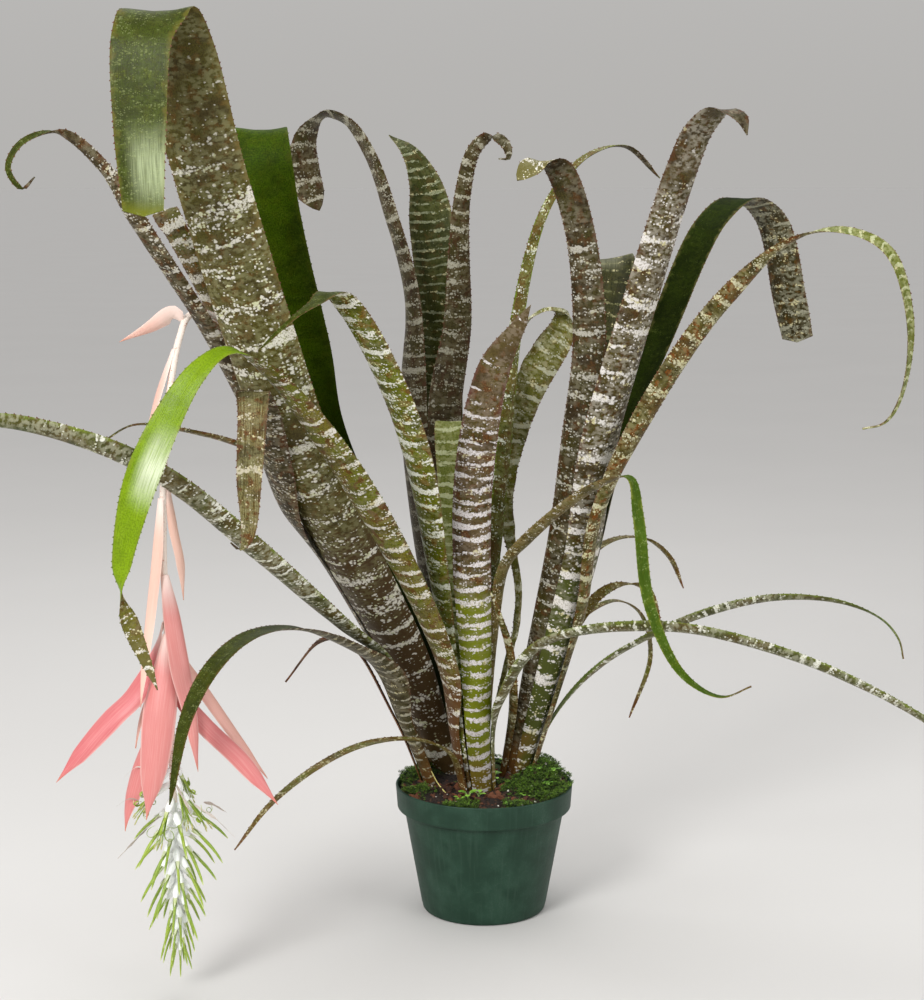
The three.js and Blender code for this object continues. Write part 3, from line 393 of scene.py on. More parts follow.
GREEN_SKIN = dict(
    blotch=(58, 58, 8), blotch_share=0.4, shade_share=0.3, foot=(62, 64, 16), film_share=0.35,
    band_floor=4.0, speck_size=1.9, speck_cover=0.45, shine=0.1,
)
SKINS = {
    "giant": dict(
        blotch_share=0.5, shade=(46, 36, 16), edge=(110, 96, 50), foot=(70, 53, 30), foot_reach=300.0,
        root=(112, 92, 52), fade_reach=330.0, film=(128, 126, 88), film_share=0.65, band=(214, 210, 198),
        band_spacing=27.0, band_floor=1.1, regular=1.25, drift=2.4, speck=(196, 198, 158), speck_size=3.6,
        speck_share=0.7,
    ),
    "taupe": dict(
        base=(80, 68, 40), second=(72, 64, 20), blotch=(78, 52, 14), foot=(68, 74, 26), foot_reach=230.0,
        fade_reach=150.0, film=(160, 154, 138), film_share=0.66, band=(220, 215, 210), band_spacing=23.0,
        band_floor=0.7, regular=0.9, broken=4.6, speck_size=3.6,
    ),
    "khaki": dict(
        base=(60, 48, 22), second=(52, 46, 14), blotch=(84, 50, 14), shade_share=0.65, fade_reach=120.0,
        film=(132, 124, 100), film_share=0.45, band=(192, 188, 176), band_spacing=17.0, band_floor=1.0,
        regular=0.8, broken=4.6, speck=(186, 180, 148), speck_size=3.2,
    ),
    "shaded": dict(
        base=(68, 56, 28), second=(60, 56, 18), blotch=(66, 40, 14), foot=(34, 26, 12), deep_shade_reach=420.0,
        film=(122, 114, 88), band=(174, 170, 152), band_spacing=15.0, speck=(152, 146, 120),
    ),
    "blotched": dict(
        base=(96, 78, 36), second=(80, 84, 28), blotch=(118, 74, 22), shade=(48, 30, 14),
        shade_share=0.75, film=(138, 130, 100), band=(212, 208, 196), band_spacing=16.0, band_floor=0.35,
        bow=0.0, wavy=6.0, torn=2.4, speck_share=0.6,
    ),
    "banded": dict(
        base=(108, 114, 14), second=(92, 98, 10), blotch=(116, 82, 26), edge=(96, 68, 36),
        fade_reach=60.0, deep_shade_reach=50.0, film=(166, 168, 124), film_share=0.25, band=(228, 226, 218),
        band_spacing=14.0, band_floor=0.5, regular=0.75, broken=5.2, speck=(206, 208, 150),
        speck_share=0.65,
    ),
    "purple_banded": dict(
        base=(98, 80, 52), second=(84, 74, 28), blotch=(102, 62, 28), edge=(102, 64, 58), edge_share=0.9,
        foot=(110, 118, 14), foot_reach=190.0, tip=(80, 66, 36), tip_reach=90.0, fade_reach=130.0,
        deep_shade_reach=110.0, deep_share=0.45, film=(142, 128, 110), film_share=0.45, band=(224, 218, 218),
        band_spacing=10.5, band_floor=0.5, broken=4.8, speck_share=0.65,
    ),
    "rust_banded": dict(
        base=(50, 43, 14), second=(42, 37, 4), blotch=(88, 62, 18), shade_share=0.4, film=(128, 126, 104),
        film_share=0.75, band=(148, 146, 126), band_spacing=14.0, speck_share=0.6,
    ),
    "green_banded": dict(
        base=(114, 112, 44), second=(102, 102, 30), blotch=(108, 84, 32), blotch_share=0.5,
        shade=(50, 52, 16), edge=(104, 84, 48), foot=(66, 70, 18), tip=(160, 158, 136), tip_reach=26.0,
        film=(172, 170, 132), film_share=0.6, band=(190, 190, 166), band_spacing=14.0, band_floor=0.7,
        regular=0.8, broken=4.6, torn=1.5, speck_share=0.5,
    ),
    "mottled": dict(
        base=(86, 90, 42), second=(98, 82, 46), second_share=0.8, blotch=(70, 58, 20), blotch_share=0.5,
        shade=(44, 42, 18), edge=(110, 124, 44), edge_share=0.85, foot=(84, 100, 26), tip=(62, 88, 14),
        tip_reach=120.0, fade_reach=150.0, film=(166, 166, 140), film_share=0.6, band=(224, 224, 212),
        band_spacing=12.0, band_floor=0.7, regular=0.3, broken=6.0, bow=0.0, speck=(206, 208, 172),
        speck_size=3.4, speck_share=0.55,
    ),
    "green_spotted": dict(
        base=(98, 92, 34), second=(98, 70, 28), second_share=0.8, blotch=(92, 60, 20), blotch_share=0.7,
        shade=(42, 52, 8), edge=(98, 122, 10), edge_share=0.95, film=(140, 148, 90), band=(214, 216, 202),
        band_spacing=16.0, regular=0.2, broken=5.0, speck=(206, 208, 162), speck_share=0.6,
    ),
    "rusty": dict(
        base=(78, 72, 18), second=(92, 66, 20), blotch=(116, 64, 12), blotch_share=0.8,
        film=(150, 144, 102), film_share=0.45, band=(190, 186, 156), band_spacing=22.0, band_floor=1.0,
        speck=(204, 200, 152), speck_share=0.7,
    ),
    "greyed": dict(
        base=(66, 60, 34), second=(54, 50, 22), blotch=(72, 60, 26), film=(126, 120, 98), film_share=0.5,
        band=(156, 152, 134), band_spacing=9.0, regular=1.3, broken=2.8, torn=1.5, speck_share=0.4,
    ),
    # The pale patch near the flap's tip is a painted highlight.
    "flap": dict(
        GREEN_SKIN, base=(48, 57, 2), second=(56, 66, 4), shade=(42, 46, 6), shade_share=0.45,
        grain_share=0.8, line=(84, 96, 28), edge=(92, 84, 24), edge_share=0.8, tip=(104, 108, 18),
        tip_reach=14.0, highlight_patch=(178, 190, 148), highlight_patch_at=34.0, highlight_patch_reach=36.0, highlight_patch_share=0.7,
        film=(80, 92, 32), band=(130, 138, 88), speck=(98, 108, 40), speck_size=2.0, speck_share=0.9,
        gloss=0.42, shine=0.14,
    ),
    "grey_green": dict(
        GREEN_SKIN, base=(48, 54, 2), second=(54, 60, 4), shade=(36, 44, 6), grain_share=0.7,
        line=(78, 86, 26), edge=(92, 72, 28), film=(70, 80, 22), film_share=0.4, band=(124, 132, 78),
        speck=(86, 94, 34), speck_share=0.9,
    ),
    "fresh_green": dict(
        GREEN_SKIN, base=(64, 92, 4), second=(54, 80, 3), blotch=(90, 106, 16), shade=(56, 70, 6),
        line=(104, 128, 40), edge=(136, 138, 56), foot=(60, 72, 12), tip=(104, 66, 34), tip_reach=30.0,
        film=(96, 118, 40), film_share=0.25, band=(150, 166, 100), speck=(140, 156, 76),
    ),
    "deep_green": dict(
        GREEN_SKIN, base=(62, 86, 2), second=(52, 72, 1), blotch=(62, 74, 1), shade=(22, 32, 1),
        shade_share=0.4, line=(70, 88, 6), edge=(70, 80, 14), foot=(34, 44, 1), foot_reach=200.0,
        film=(80, 98, 14), film_share=0.2, band=(86, 102, 26), speck=(82, 98, 18), speck_cover=0.4,
        shine=0.06,
    ),
    # Painted shade: a darker green for the inner face of leaf_c3, which lies in shade.
    "dark_green": dict(
        GREEN_SKIN, base=(29, 41, 0), second=(19, 28, 0), blotch=(34, 42, 2), shade=(14, 20, 1),
        line=(42, 54, 6), edge=(96, 92, 50), foot=(20, 26, 3), foot_reach=120.0, film=(52, 64, 14),
        film_share=0.2, band=(64, 74, 28), band_floor=1.5, speck=(50, 60, 14), speck_share=0.5,
        gloss=0.55, shine=0.03,
    ),
    "pale_green": dict(
        base=(108, 114, 36), second=(92, 100, 20), blotch=(124, 126, 62), blotch_share=0.4,
        shade=(60, 68, 10), shade_share=0.25, line=(146, 154, 94), line_share=0.3, edge=(120, 110, 62),
        foot=(60, 66, 8), foot_reach=170.0, film=(164, 166, 116), film_share=0.6, band=(184, 188, 148),
        band_spacing=9.0, band_floor=0.6, torn=1.2, speck_share=0.15,
    ),
    # The pale streaky patch on the bright face is a painted highlight.
    "bright": dict(
        GREEN_SKIN, base=(108, 138, 0), second=(118, 148, 2), blotch=(116, 146, 6), shade=(84, 106, 6),
        line=(150, 174, 50), line_share=0.2, edge=(116, 130, 30), foot=(80, 90, 26), tip=(140, 138, 116),
        tip_reach=90.0, highlight_patch=(224, 230, 204), highlight_patch_at=172.0, highlight_patch_reach=38.0, highlight_patch_share=0.75,
        film=(196, 202, 146), film_share=0.0, band=(200, 206, 156), band_floor=2.6, speck=(194, 202, 126),
        speck_size=2.8, speck_share=0.1, speck_cover=0.3, gloss=0.34, shine=0.16,
    ),
    "droop": dict(
        base=(110, 102, 26), second=(98, 104, 12), second_share=0.9, blotch=(96, 58, 18),
        blotch_share=0.85, foot=(90, 60, 30), foot_reach=150.0, tip=(98, 92, 46), tip_reach=90.0,
        film=(136, 130, 96), film_share=0.3, band=(214, 210, 200), band_spacing=13.0, band_floor=0.85,
        regular=0.8, broken=5.0, speck_share=0.6,
    ),
    "cross_lined": dict(
        base=(52, 58, 6), second=(44, 48, 2), blotch=(78, 58, 20), blotch_share=0.5, shade=(26, 30, 4),
        edge=(112, 106, 72), foot=(50, 52, 16), film=(96, 100, 58), band=(134, 138, 110),
        band_spacing=8.0, band_floor=0.8, torn=1.2, speck_share=0.25,
    ),
    "shaded_green": dict(
        base=(42, 44, 4), second=(36, 38, 2), blotch=(50, 42, 14), blotch_share=0.5, shade=(24, 26, 4),
        edge=(100, 100, 72), edge_share=0.9, foot=(30, 32, 8), highlight_patch=(124, 124, 98), highlight_patch_at=40.0,
        highlight_patch_reach=14.0, film=(80, 80, 36), film_share=0.35, band=(100, 100, 66), band_spacing=9.0,
        torn=1.2, speck_share=0.2, shine=0.14,
    ),
    "thin_olive": dict(
        base=(102, 106, 20), second=(112, 90, 30), blotch=(104, 62, 14), blotch_share=0.5,
        edge=(100, 76, 26), tip=(106, 62, 26), tip_reach=40.0, band=(190, 186, 146), band_floor=1.4,
    ),
    "soft_green": dict(
        GREEN_SKIN, base=(88, 106, 22), second=(76, 94, 14), blotch=(116, 128, 52), shade=(70, 84, 20),
        shade_share=0.25, line=(132, 150, 72), line_share=0.3, edge=(132, 140, 70), foot=(70, 84, 24),
        tip=(104, 66, 34), tip_reach=30.0, film=(136, 150, 88), band=(176, 186, 134), band_floor=2.2,
        speck=(170, 180, 120), speck_size=2.2, speck_share=0.5, speck_cover=0.5,
    ),
    "tan": dict(
        base=(104, 94, 48), second=(110, 92, 42), blotch=(104, 80, 36), edge=(120, 96, 60),
        film=(146, 138, 100), band_floor=1.5, speck=(204, 196, 154), speck_size=2.4, speck_share=0.7,
    ),
    "smoky": dict(
        base=(60, 50, 26), second=(54, 50, 16), blotch=(76, 48, 18), shade_share=0.6, fade_reach=120.0,
        film=(124, 118, 98), film_share=0.45, band=(172, 168, 156), band_spacing=17.0, band_floor=1.0,
        regular=0.8, broken=4.6, speck=(166, 162, 134), speck_size=3.2,
    ),
    "dry": dict(
        base=(84, 76, 30), second=(94, 72, 28), blotch=(92, 54, 20), blotch_share=0.8,
        line=(158, 154, 112), line_share=0.5, film=(132, 128, 90), band=(180, 172, 150), band_floor=1.4,
        speck_share=0.5, gloss=0.55,
    ),
    "dead": dict(
        base=(106, 56, 28), second=(132, 82, 42), blotch=(66, 32, 18), film_share=0.2,
        band=(180, 158, 128), band_floor=2.0, speck_share=0.3, gloss=0.6,
    ),
}

# Colours of the bracts, and the black that shades a stem under its meal
CORAL = (203, 107, 108)
CORAL_DEEP = (196, 86, 94)
PEACH = (234, 190, 172)
CREAM = (246, 226, 216)
DRY_TIP = (198, 120, 84)
BLACK = (0, 0, 0)

# Bracts of the scape, as in the CAD model: seat height, side, azimuth of the inner face, twist of
# the foot and the blade's rows. The tone is 0 for coral and 1 for pale peach.
BRACT_THICK = 0.9
BRACT_GAP = 0.25
BRACT_THINNED = 0.8
BRACT_FOOT_WIDTH = 7.0
BRACT_FOOT_CUP = 90.0
BRACT_STATION = 2.5
BRACT_TAPER = 26.0
BRACT_WAVE = 0.25
FIRST_BRACT = 50.0
BRACTS = {
    "bract_1": dict(seat=517, side=190, azimuth=180, twist=40, tone=0.85, blade=[
        [-236, -164, 521, 18, 60, 50], [-252, -171, 513, 11, 70, 60], [-263, -176, 508, 7, 50, 65],
        [-274, -182, 503, 3, 30, 65],
    ]),
    "bract_2": dict(seat=497, side=200, azimuth=20, twist=0, tone=0.9, blade=[
        [-246.5, -184, 466, 14, 90, 0], [-254, -192, 435, 13, 80, 0], [-261, -197, 412, 4, 50, 0],
    ]),
    "bract_3": dict(seat=388, side=225, azimuth=45, twist=0, tone=1.0, blade=[
        [-249.5, -197.5, 341, 14, 100, 0], [-254, -202, 300, 13, 90, 0], [-258, -208, 262, 9, 80, 0],
        [-260, -211, 231, 3, 50, 0],
    ]),
    "bract_4": dict(seat=405, side=10, azimuth=140, twist=-50, tone=1.0, blade=[
        [-235, -190, 366, 10, 90, 0], [-230, -191, 338, 9, 70, 0], [-229, -191, 309, 3, 50, 0],
    ]),
    "bract_5": dict(seat=330, side=290, azimuth=110, twist=0, tone=0.25, blade=[
        [-235.5, -203, 296, 15, 100, 0], [-230, -208, 262, 17, 90, 0], [-223, -212, 228, 12, 80, 0],
        [-218, -211, 181, 3, 50, 0],
    ]),
    "bract_6": dict(seat=283, side=268, azimuth=86, twist=0, tone=0.2, blade=[
        [-244, -206, 251, 22, 90, 0], [-247, -212, 225, 28, 80, 0], [-251, -214, 190, 24, 80, 0],
        [-258, -210, 143, 3, 50, 0],
    ]),
    "bract_7": dict(seat=292, side=160, azimuth=66, twist=80, tone=0.0, blade=[
        [-254, -192, 262, 15, 80, 10], [-266, -195, 239, 20, 70, 0], [-285, -199, 220, 20, 70, 0],
        [-308, -202, 194, 15, 70, 0], [-327, -202, 170, 3, 50, 0],
    ]),
    "bract_8": dict(seat=262, side=325, azimuth=112, twist=-33, tone=0.1, blade=[
        [-231, -197, 236, 14, 80, -5], [-215, -200, 216, 15, 70, 0], [-188, -201, 189, 15, 70, 0],
        [-171, -201, 168, 10, 60, 0], [-159, -201, 152, 3, 50, 0],
    ]),
    "bract_9": dict(seat=279, side=35, azimuth=135, twist=-80, tone=0.7, blade=[
        [-229, -184, 257, 12, 80, -10], [-214, -180, 233, 12, 70, 0], [-190, -178, 196, 10, 70, 0],
        [-169, -178, 166, 3, 50, 0],
    ]),
    "bract_10": dict(seat=240, side=180, azimuth=55, twist=55, tone=0.15, blade=[
        [-256, -189, 207, 15, 80, 10], [-268, -192, 172, 19, 80, 0], [-275, -194, 146, 12, 70, 0],
        [-277, -194, 129, 3, 50, 0],
    ]),
    "bract_11": dict(seat=268, side=150, azimuth=30, twist=60, tone=0.8, blade=[
        [-256, -184, 241, 9, 80, 10], [-265, -184, 215, 8, 70, 0], [-269, -185, 192, 3, 50, 0],
    ]),
}

# The scape's route, as in the CAD model
SCAPE_RADIUS = 2.6
SCAPE_SAMPLES = 400
SCAPE_STATION = 3.0
SCAPE_HANGS_PAST_X = -222.0
SCAPE_END = 152.0
SCAPE_ROUTE = [
    [-26, 38, 96], [-43, 24, 155], [-66, 4, 225], [-104, -58, 325], [-142, -114, 418],
    [-169, -128, 466], [-193, -134, 503], [-211, -143, 521], [-225, -156, 521], [-231, -168, 505],
    [-235, -180, 481], [-239, -188, 445], [-242, -192, 401], [-243, -193, 340], [-241, -193, 270],
    [-240, -193, 200], [-239.5, -193, SCAPE_END],
]

# The flower spike: a pair of spreads is at its top and at its tip, in degrees from straight down,
# and a shape is a row of widths along a form, as shares of its own width
SPIKE_TOP = np.array([-239.5, -193.0, SCAPE_END - 0.4])
SPIKE_TIP = np.array([-237.0, -193.0, 40.0])
SPIKE_OVERLAP = 3.0
RACHIS_RADIUS = 2.4
FLOWERS = 50
GOLDEN_ANGLE = 137.5
OVARY_LENGTH = 14.0
OVARY_RADIUS = 2.9
OVARY_SPREAD = (68.0, 20.0)
OVARY_SHAPE = [0.34, 0.62, 0.84, 0.96, 1.0, 1.0, 0.94, 0.8, 0.56]
SEPAL_LENGTH = 9.0
SEPAL_WIDTH = 2.9
SEPAL_SHAPE = [0.8, 1.0, 1.0, 0.9, 0.7, 0.4, 0.05]
BUD_LENGTH = 34.0
BUD_RADIUS = 1.05
BUD_SPREAD = (36.0, 7.0)
BUD_SHAPE = [0.9, 1, 1.02, 1.05, 1.1, 1.12, 1.1, 1.05, 1, 0.95, 0.88, 0.78, 0.6, 0.3]
PETALS = 3
PETAL_LENGTH = 42.0
PETAL_WIDTH = 2.4
PETAL_STATIONS = 46
STAMENS = 6
STAMEN_LENGTH = 26.0
STAMEN_RADIUS = 0.3
ANTHER_RADII = [0.15, 0.45, 0.55, 0.45, 0.15]

# The spike's materials, by their places on its mesh
MEAL, PETAL, SEPAL, ANTHER, WITHERED_SKIN = range(5)

# Flowers past their best at the top of the spike: height above it, side, spread, and how many
# degrees the petals coil back
OPEN_FLOWERS = [
    [32, 60, 40, 500], [29, 200, 48, 620], [23, 320, 30, 150],
    [17, 190, 60, 560], [12, 350, 55, 480], [6, 250, 50, 260],
]

# Withered petals that hang from the first flowers: start, bend, end and width
WITHERED = [
    [(-250, -198, 142), (-263, -204, 130), (-281, -208, 112), 3.2],
    [(-223, -200, 152), (-206, -204, 142), (-192, -204, 127), 2.6],
    [(-216, -196, 153), (-208, -198, 151), (-198, -199, 145), 3.4],
    [(-252, -194, 172), (-266, -194, 180), (-277, -194, 172), 1.4],
    [(-256, -198, 150), (-272, -198, 156), (-283, -198, 150), 1.2],
    [(-236, -202, 168), (-226, -206, 150), (-219, -206, 132), 2.6],
]


def display(color):
    """A display colour as the linear colour that a shader takes."""
    return tuple(c / 255 / 12.92 if c < 10.3 else ((c / 255 + 0.055) / 1.055) ** 2.4 for c in color)


def unit(vectors):
    """Vectors scaled to length one along the last axis."""
    return vectors / np.maximum(np.linalg.norm(vectors, axis=-1, keepdims=True), 1e-9)


def smooth(value, low, high):
    """Zero below low, one above high, and a smooth rise between."""
    t = np.clip((value - low) / (high - low), 0.0, 1.0)
    return t * t * (3 - 2 * t)


def wobble(x, y, z):
    """Smooth noise at a point, from about minus one to one."""
    return noise.noise(Vector((x, y, z)))


def polar(radius, angle, height=0.0):
    """A point from its radius, angle and height."""
    return radius * math.cos(angle), radius * math.sin(angle), height


def spoke(a, b, angle):
    """The direction at an angle round the two cross axes of a path."""
    return a * math.cos(angle) + b * math.sin(angle)


def hump(x, y, spread):
    """One at the origin, and a round fall to zero outside the spread."""
    return math.exp(-(x ** 2 + y ** 2) / spread ** 2)


class Curve:
    """A centripetal Catmull-Rom curve through points, as the CAD model draws its midlines."""

    def __init__(self, points):
        self.points = np.array(points, float)
        self.spans = len(points) - 1
        first = 2 * self.points[0] - self.points[1]
        last = 2 * self.points[-1] - self.points[-2]
        padded = np.vstack([first, self.points, last])
        gaps = np.maximum(np.sum(np.diff(padded, axis=0) ** 2, axis=1) ** 0.25, 1e-4)
        self.terms = []
        for i in range(self.spans):
            p0, p1, p2, p3 = padded[i : i + 4]
            d0, d1, d2 = gaps[i : i + 3]
            t1 = ((p1 - p0) / d0 - (p2 - p0) / (d0 + d1) + (p2 - p1) / d1) * d1
            t2 = ((p2 - p1) / d1 - (p3 - p1) / (d1 + d2) + (p3 - p2) / d2) * d1
            self.terms.append((p1, t1, -3 * p1 + 3 * p2 - 2 * t1 - t2, 2 * p1 - 2 * p2 + t1 + t2))

    def at(self, rows):
        """The points and unit tangents at row numbers, such as 2.5 for half way past row 2."""
        points, tangents = [], []
        for row in rows:
            i = min(int(row), self.spans - 1)
            w = row - i
            c0, c1, c2, c3 = self.terms[i]
            points.append(c0 + c1 * w + c2 * w * w + c3 * w ** 3)
            tangents.append(c1 + 2 * c2 * w + 3 * c3 * w * w)
        return np.array(points), unit(np.array(tangents))

    def stations(self, step):
        """Row numbers that lie about one step apart along the curve."""
        rows = []
        for i in range(self.spans):
            length = np.linalg.norm(self.points[i + 1] - self.points[i])
            count = max(2, math.ceil(length / step))
            rows += [i + k / count for k in range(count)]
        return np.array(rows + [self.spans])

    def path(self, step):
        """Points that lie about one step apart along the curve."""
        return self.at(self.stations(step))[0]


def eased(values, rows):
    """Values given at whole rows, read between them on a curve that never overshoots."""
    v = np.array(values, float)
    rise = np.diff(v)
    slope = np.zeros(len(v))
    for i in range(1, len(v) - 1):
        if rise[i - 1] * rise[i] > 0:
            slope[i] = 2 * rise[i - 1] * rise[i] / (rise[i - 1] + rise[i])
    slope[0], slope[-1] = rise[0], rise[-1]
    i = np.minimum(rows.astype(int), len(v) - 2)
    w = rows - i
    level = v[i] * (1 + 2 * w) * (1 - w) ** 2 + v[i + 1] * w * w * (3 - 2 * w)
    return level + slope[i] * w * (1 - w) ** 2 - slope[i + 1] * w * w * (1 - w)


def blade_axes(tangents, azimuth, turns):
    """The width axis and the inner face's direction of a blade at each tangent."""
    angle = math.radians(azimuth)
    flat = np.array([-math.sin(angle), math.cos(angle), 0.0])
    across = unit(flat - (tangents @ flat)[:, None] * tangents)
    inward = np.cross(tangents, across)
    cos = np.cos(np.radians(turns))[:, None]
    sin = np.sin(np.radians(turns))[:, None]
    return across * cos + inward * sin, inward * cos - across * sin


def sheath_rows(rosette, leaf):
    """The rows that a leaf has in its rosette's sheath, all concentric with the tube."""
    levels = np.array(rosette, float)
    middle, tangents = Curve(levels[:, :3]).at(range(len(levels)))
    turn = leaf.get("side", leaf["azimuth"]) - leaf["azimuth"]
    inward = blade_axes(tangents, leaf["azimuth"], np.full(len(levels), turn))[1]
    rows = []
    for i in range(leaf["clasp"]):
        own = levels[i, 3] - leaf["layer"] * SHEATH_STEP
        at = middle[i] - own * inward[i]
        rows.append([*at, own * math.radians(leaf["wrap"]), leaf["wrap"], turn])
    return rows


def placed(name, data):
    """A new object in the scene."""
    made = bpy.data.objects.new(name, data)
    bpy.context.scene.collection.objects.link(made)
    return made


class Bag:
    """Points and faces of a mesh that is put together from several shapes."""

    def __init__(self):
        self.points, self.faces, self.materials = [], [], []
        self.maps = {}

    def add(self, points, faces, material=0, **maps):
        """Adds a shape; each map gives two numbers for every one of its points."""
        start = len(self.points)
        self.points += [tuple(p) for p in points]
        self.faces += [tuple(start + i for i in face) for face in faces]
        self.materials += material if isinstance(material, list) else [material] * len(faces)
        for name, values in maps.items():
            rows = self.maps.setdefault(name, [])
            rows += [(0.0, 0.0)] * (start - len(rows)) + [tuple(v) for v in values]

    def sweep(self, rings, material=0, tone=None, **maps):
        """Adds a closed shape from rings of points; its map holds the share along it and its tone."""
        count, sides = rings.shape[:2]
        if tone is not None:
            maps["tone"] = [(i / (count - 1), tone) for i in range(count) for _ in range(sides)]
        faces = [
            (i + j, i + (j + 1) % sides, i + sides + (j + 1) % sides, i + sides + j)
            for i in range(0, (count - 1) * sides, sides)
            for j in range(sides)
        ]
        faces.append(tuple(range(sides - 1, -1, -1)))
        faces.append(tuple(range((count - 1) * sides, count * sides)))
        self.add(rings.reshape(-1, 3), faces, material, **maps)

    def finish(self, name, node, slot, materials, sharp=50.0):
        """The piece as an object that rides on the body and may stand for a CAD node."""
        mesh = bpy.data.meshes.new(name)
        mesh.from_pydata([tuple(c * MM for c in p) for p in self.points], [], self.faces)
        for made in materials:
            mesh.materials.append(made)
        mesh.polygons.foreach_set("material_index", self.materials)
        corners = np.zeros(len(mesh.loops), int)
        mesh.loops.foreach_get("vertex_index", corners)
        for map_name, values in self.maps.items():
            values = values + [(0.0, 0.0)] * (len(self.points) - len(values))
            layer = mesh.uv_layers.new(name=map_name)
            layer.data.foreach_set("uv", np.array(values, np.float32)[corners].ravel())
        mesh.validate()
        mesh.shade_smooth()
        mesh.set_sharp_from_angle(angle=math.radians(sharp))
        piece = placed(name, mesh)
        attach(piece, "root")
        if node:
            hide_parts(node)


def frames_along(path):
    """Tangents and two cross axes along a path, turned as little as they can be."""
    tangents = unit(np.gradient(path, axis=0))
    side = np.cross(tangents[0], UP)
    if np.linalg.norm(side) < 0.1:
        side = np.cross(tangents[0], [0.0, 1.0, 0.0])
    sides = []
    for tangent in tangents:
        side = side - side.dot(tangent) * tangent
        side = side / max(np.linalg.norm(side), 1e-9)
        sides.append(side)
    sides = np.array(sides)
    return tangents, sides, np.cross(tangents, sides)


def tube_rings(path, radii, sides, lobes=0, lobe_depth=0.0, twist=0.0):
    """Rings of a tube along a path; lobes give it ridges that may wind round it."""
    path = np.array(path, float)
    _, a, b = frames_along(path)
    radii = np.broadcast_to(np.array(radii, float), (len(path),))
    share = np.linspace(0, 1, len(path))[:, None]
    angle = np.linspace(0, TURN, sides, endpoint=False)[None, :]
    r = radii[:, None] * (1 + lobe_depth * np.cos(lobes * (angle + twist * share)))
    x, y = (r * np.cos(angle))[..., None], (r * np.sin(angle))[..., None]
    return path[:, None, :] + x * a[:, None, :] + y * b[:, None, :]


def ribbon_rings(path, sides, widths, thick):
    """Rings of a thin strip along a path, with a sharp edge on each side."""
    path, sides = np.array(path, float), unit(np.array(sides, float))
    normals = unit(np.cross(unit(np.gradient(path, axis=0)), sides))
    half = np.array(widths, float)[:, None] / 2
    out, lift = sides * half, normals * np.minimum(thick / 2, half * 0.5)
    return np.stack([path - out, path - lift, path + out, path + lift], 1)


class Shader:
    """A material whose nodes are added one by one around a Principled shader."""

    dimensions = "3D"

    def __init__(self, name):
        self.material = bpy.data.materials.new(name)
        self.material.use_nodes = True
        self.tree = self.material.node_tree
        self.tree.nodes.clear()
        self.surface = self.tree.nodes.new("ShaderNodeBsdfPrincipled")
        self.node("OutputMaterial", {0: self.surface.outputs[0]})

    def feed(self, socket, value):
        """Links a socket to another, or sets it to a number or a display colour."""
        if isinstance(value, bpy.types.NodeSocket):
            self.tree.links.new(value, socket)
        else:
            socket.default_value = (*display(value), 1.0) if isinstance(value, tuple) else value

    def node(self, kind, inputs, **settings):
        """The outputs of a new node with these settings; an input goes by its name or its place."""
        made = self.tree.nodes.new("ShaderNode" + kind)
        for name, value in settings.items():
            setattr(made, name, value)
        for key, value in inputs.items():
            self.feed(made.inputs[key], value)
        return made.outputs

    def finish(self, **sockets):
        """The material, once sockets such as Base_Color or Roughness are fed."""
        for name, value in sockets.items():
            self.feed(self.surface.inputs[name.replace("_", " ")], value)
        return self.material

    def parts(self, vector):
        """The three numbers of a vector."""
        return tuple(self.node("SeparateXYZ", {0: vector}))

    def map(self, name):
        """The two numbers of a named map of the mesh."""
        return self.parts(self.node("UVMap", {}, uv_map=name)[0])[:2]

    def place(self):
        """The point on the object, in millimetres."""
        point = self.node("TexCoord", {})["Object"]
        return self.node("VectorMath", {0: point, "Scale": 1 / MM}, operation="SCALE")[0]

    def vector(self, x, y, z=0.0):
        """A vector of three numbers."""
        return self.node("CombineXYZ", {0: x, 1: y, 2: z})[0]

    def math(self, operation, a, b=0.0):
        """A number worked out from one or two others."""
        return self.node("Math", {0: a, 1: b}, operation=operation)[0]

    def add(self, a, b):
        return self.math("ADD", a, b)

    def minus(self, a, b):
        return self.math("SUBTRACT", a, b)

    def times(self, a, b):
        return self.math("MULTIPLY", a, b)

    def blend(self, a, share, b):
        """A share of a, and the rest of b."""
        return self.add(self.times(a, share), self.times(b, 1 - share))

    def apart(self, a, b):
        """How far two numbers lie apart."""
        return self.math("ABSOLUTE", self.minus(a, b))

    def margin(self, share):
        """How near a share of a width is to either margin: zero in the middle, one at both."""
        return self.times(self.apart(share, 0.5), 2.0)

    def shift(self, value, span):
        """A value from zero to one as a shift of up to half a span either way."""
        return self.times(self.minus(value, 0.5), span)

    def noise(self, vector, size, detail=2.0, rough=0.5):
        """A noise whose features are about one size across."""
        inputs = {"Vector": vector, "Scale": 1 / size, "Detail": detail, "Roughness": rough}
        return self.node("TexNoise", inputs, noise_dimensions=self.dimensions)[0]

    def cells(self, vector, size):
        """The distance from the middle of a cell, in cells, and a random number for each cell."""
        inputs = {"Vector": vector, "Scale": 1 / size}
        cell = self.node("TexVoronoi", inputs, voronoi_dimensions=self.dimensions)
        return cell["Distance"], self.node("SeparateColor", {0: cell["Color"]})[0]

    def step(self, value, low, high):
        """Zero at low, one at high, smooth between; low may be the greater."""
        inputs = {"Value": value, "From Min": low, "From Max": high}
        return self.node("MapRange", inputs, interpolation_type="SMOOTHSTEP")[0]

    def mix(self, factor, a, b):
        """Colour a where the factor is zero, and colour b where it is one."""
        return self.node("Mix", {0: factor, 6: a, 7: b}, data_type="RGBA")[2]

    def between(self, factor, a, b):
        """The number a where the factor is zero, and b where it is one."""
        return self.node("Mix", {0: factor, 2: a, 3: b})[0]

    def coat(self, color, tint, share, mask, low, high):
        """Lays a share of a tint over a colour, where a mask goes from low to high."""
        return self.mix(self.times(self.step(mask, low, high), share), color, tint)

    def bump(self, height, depth):
        """Relief of a height from zero to one, with its depth in millimetres."""
        relief = self.node("Bump", {"Height": height, "Distance": depth * MM})[0]
        self.feed(self.surface.inputs["Normal"], relief)


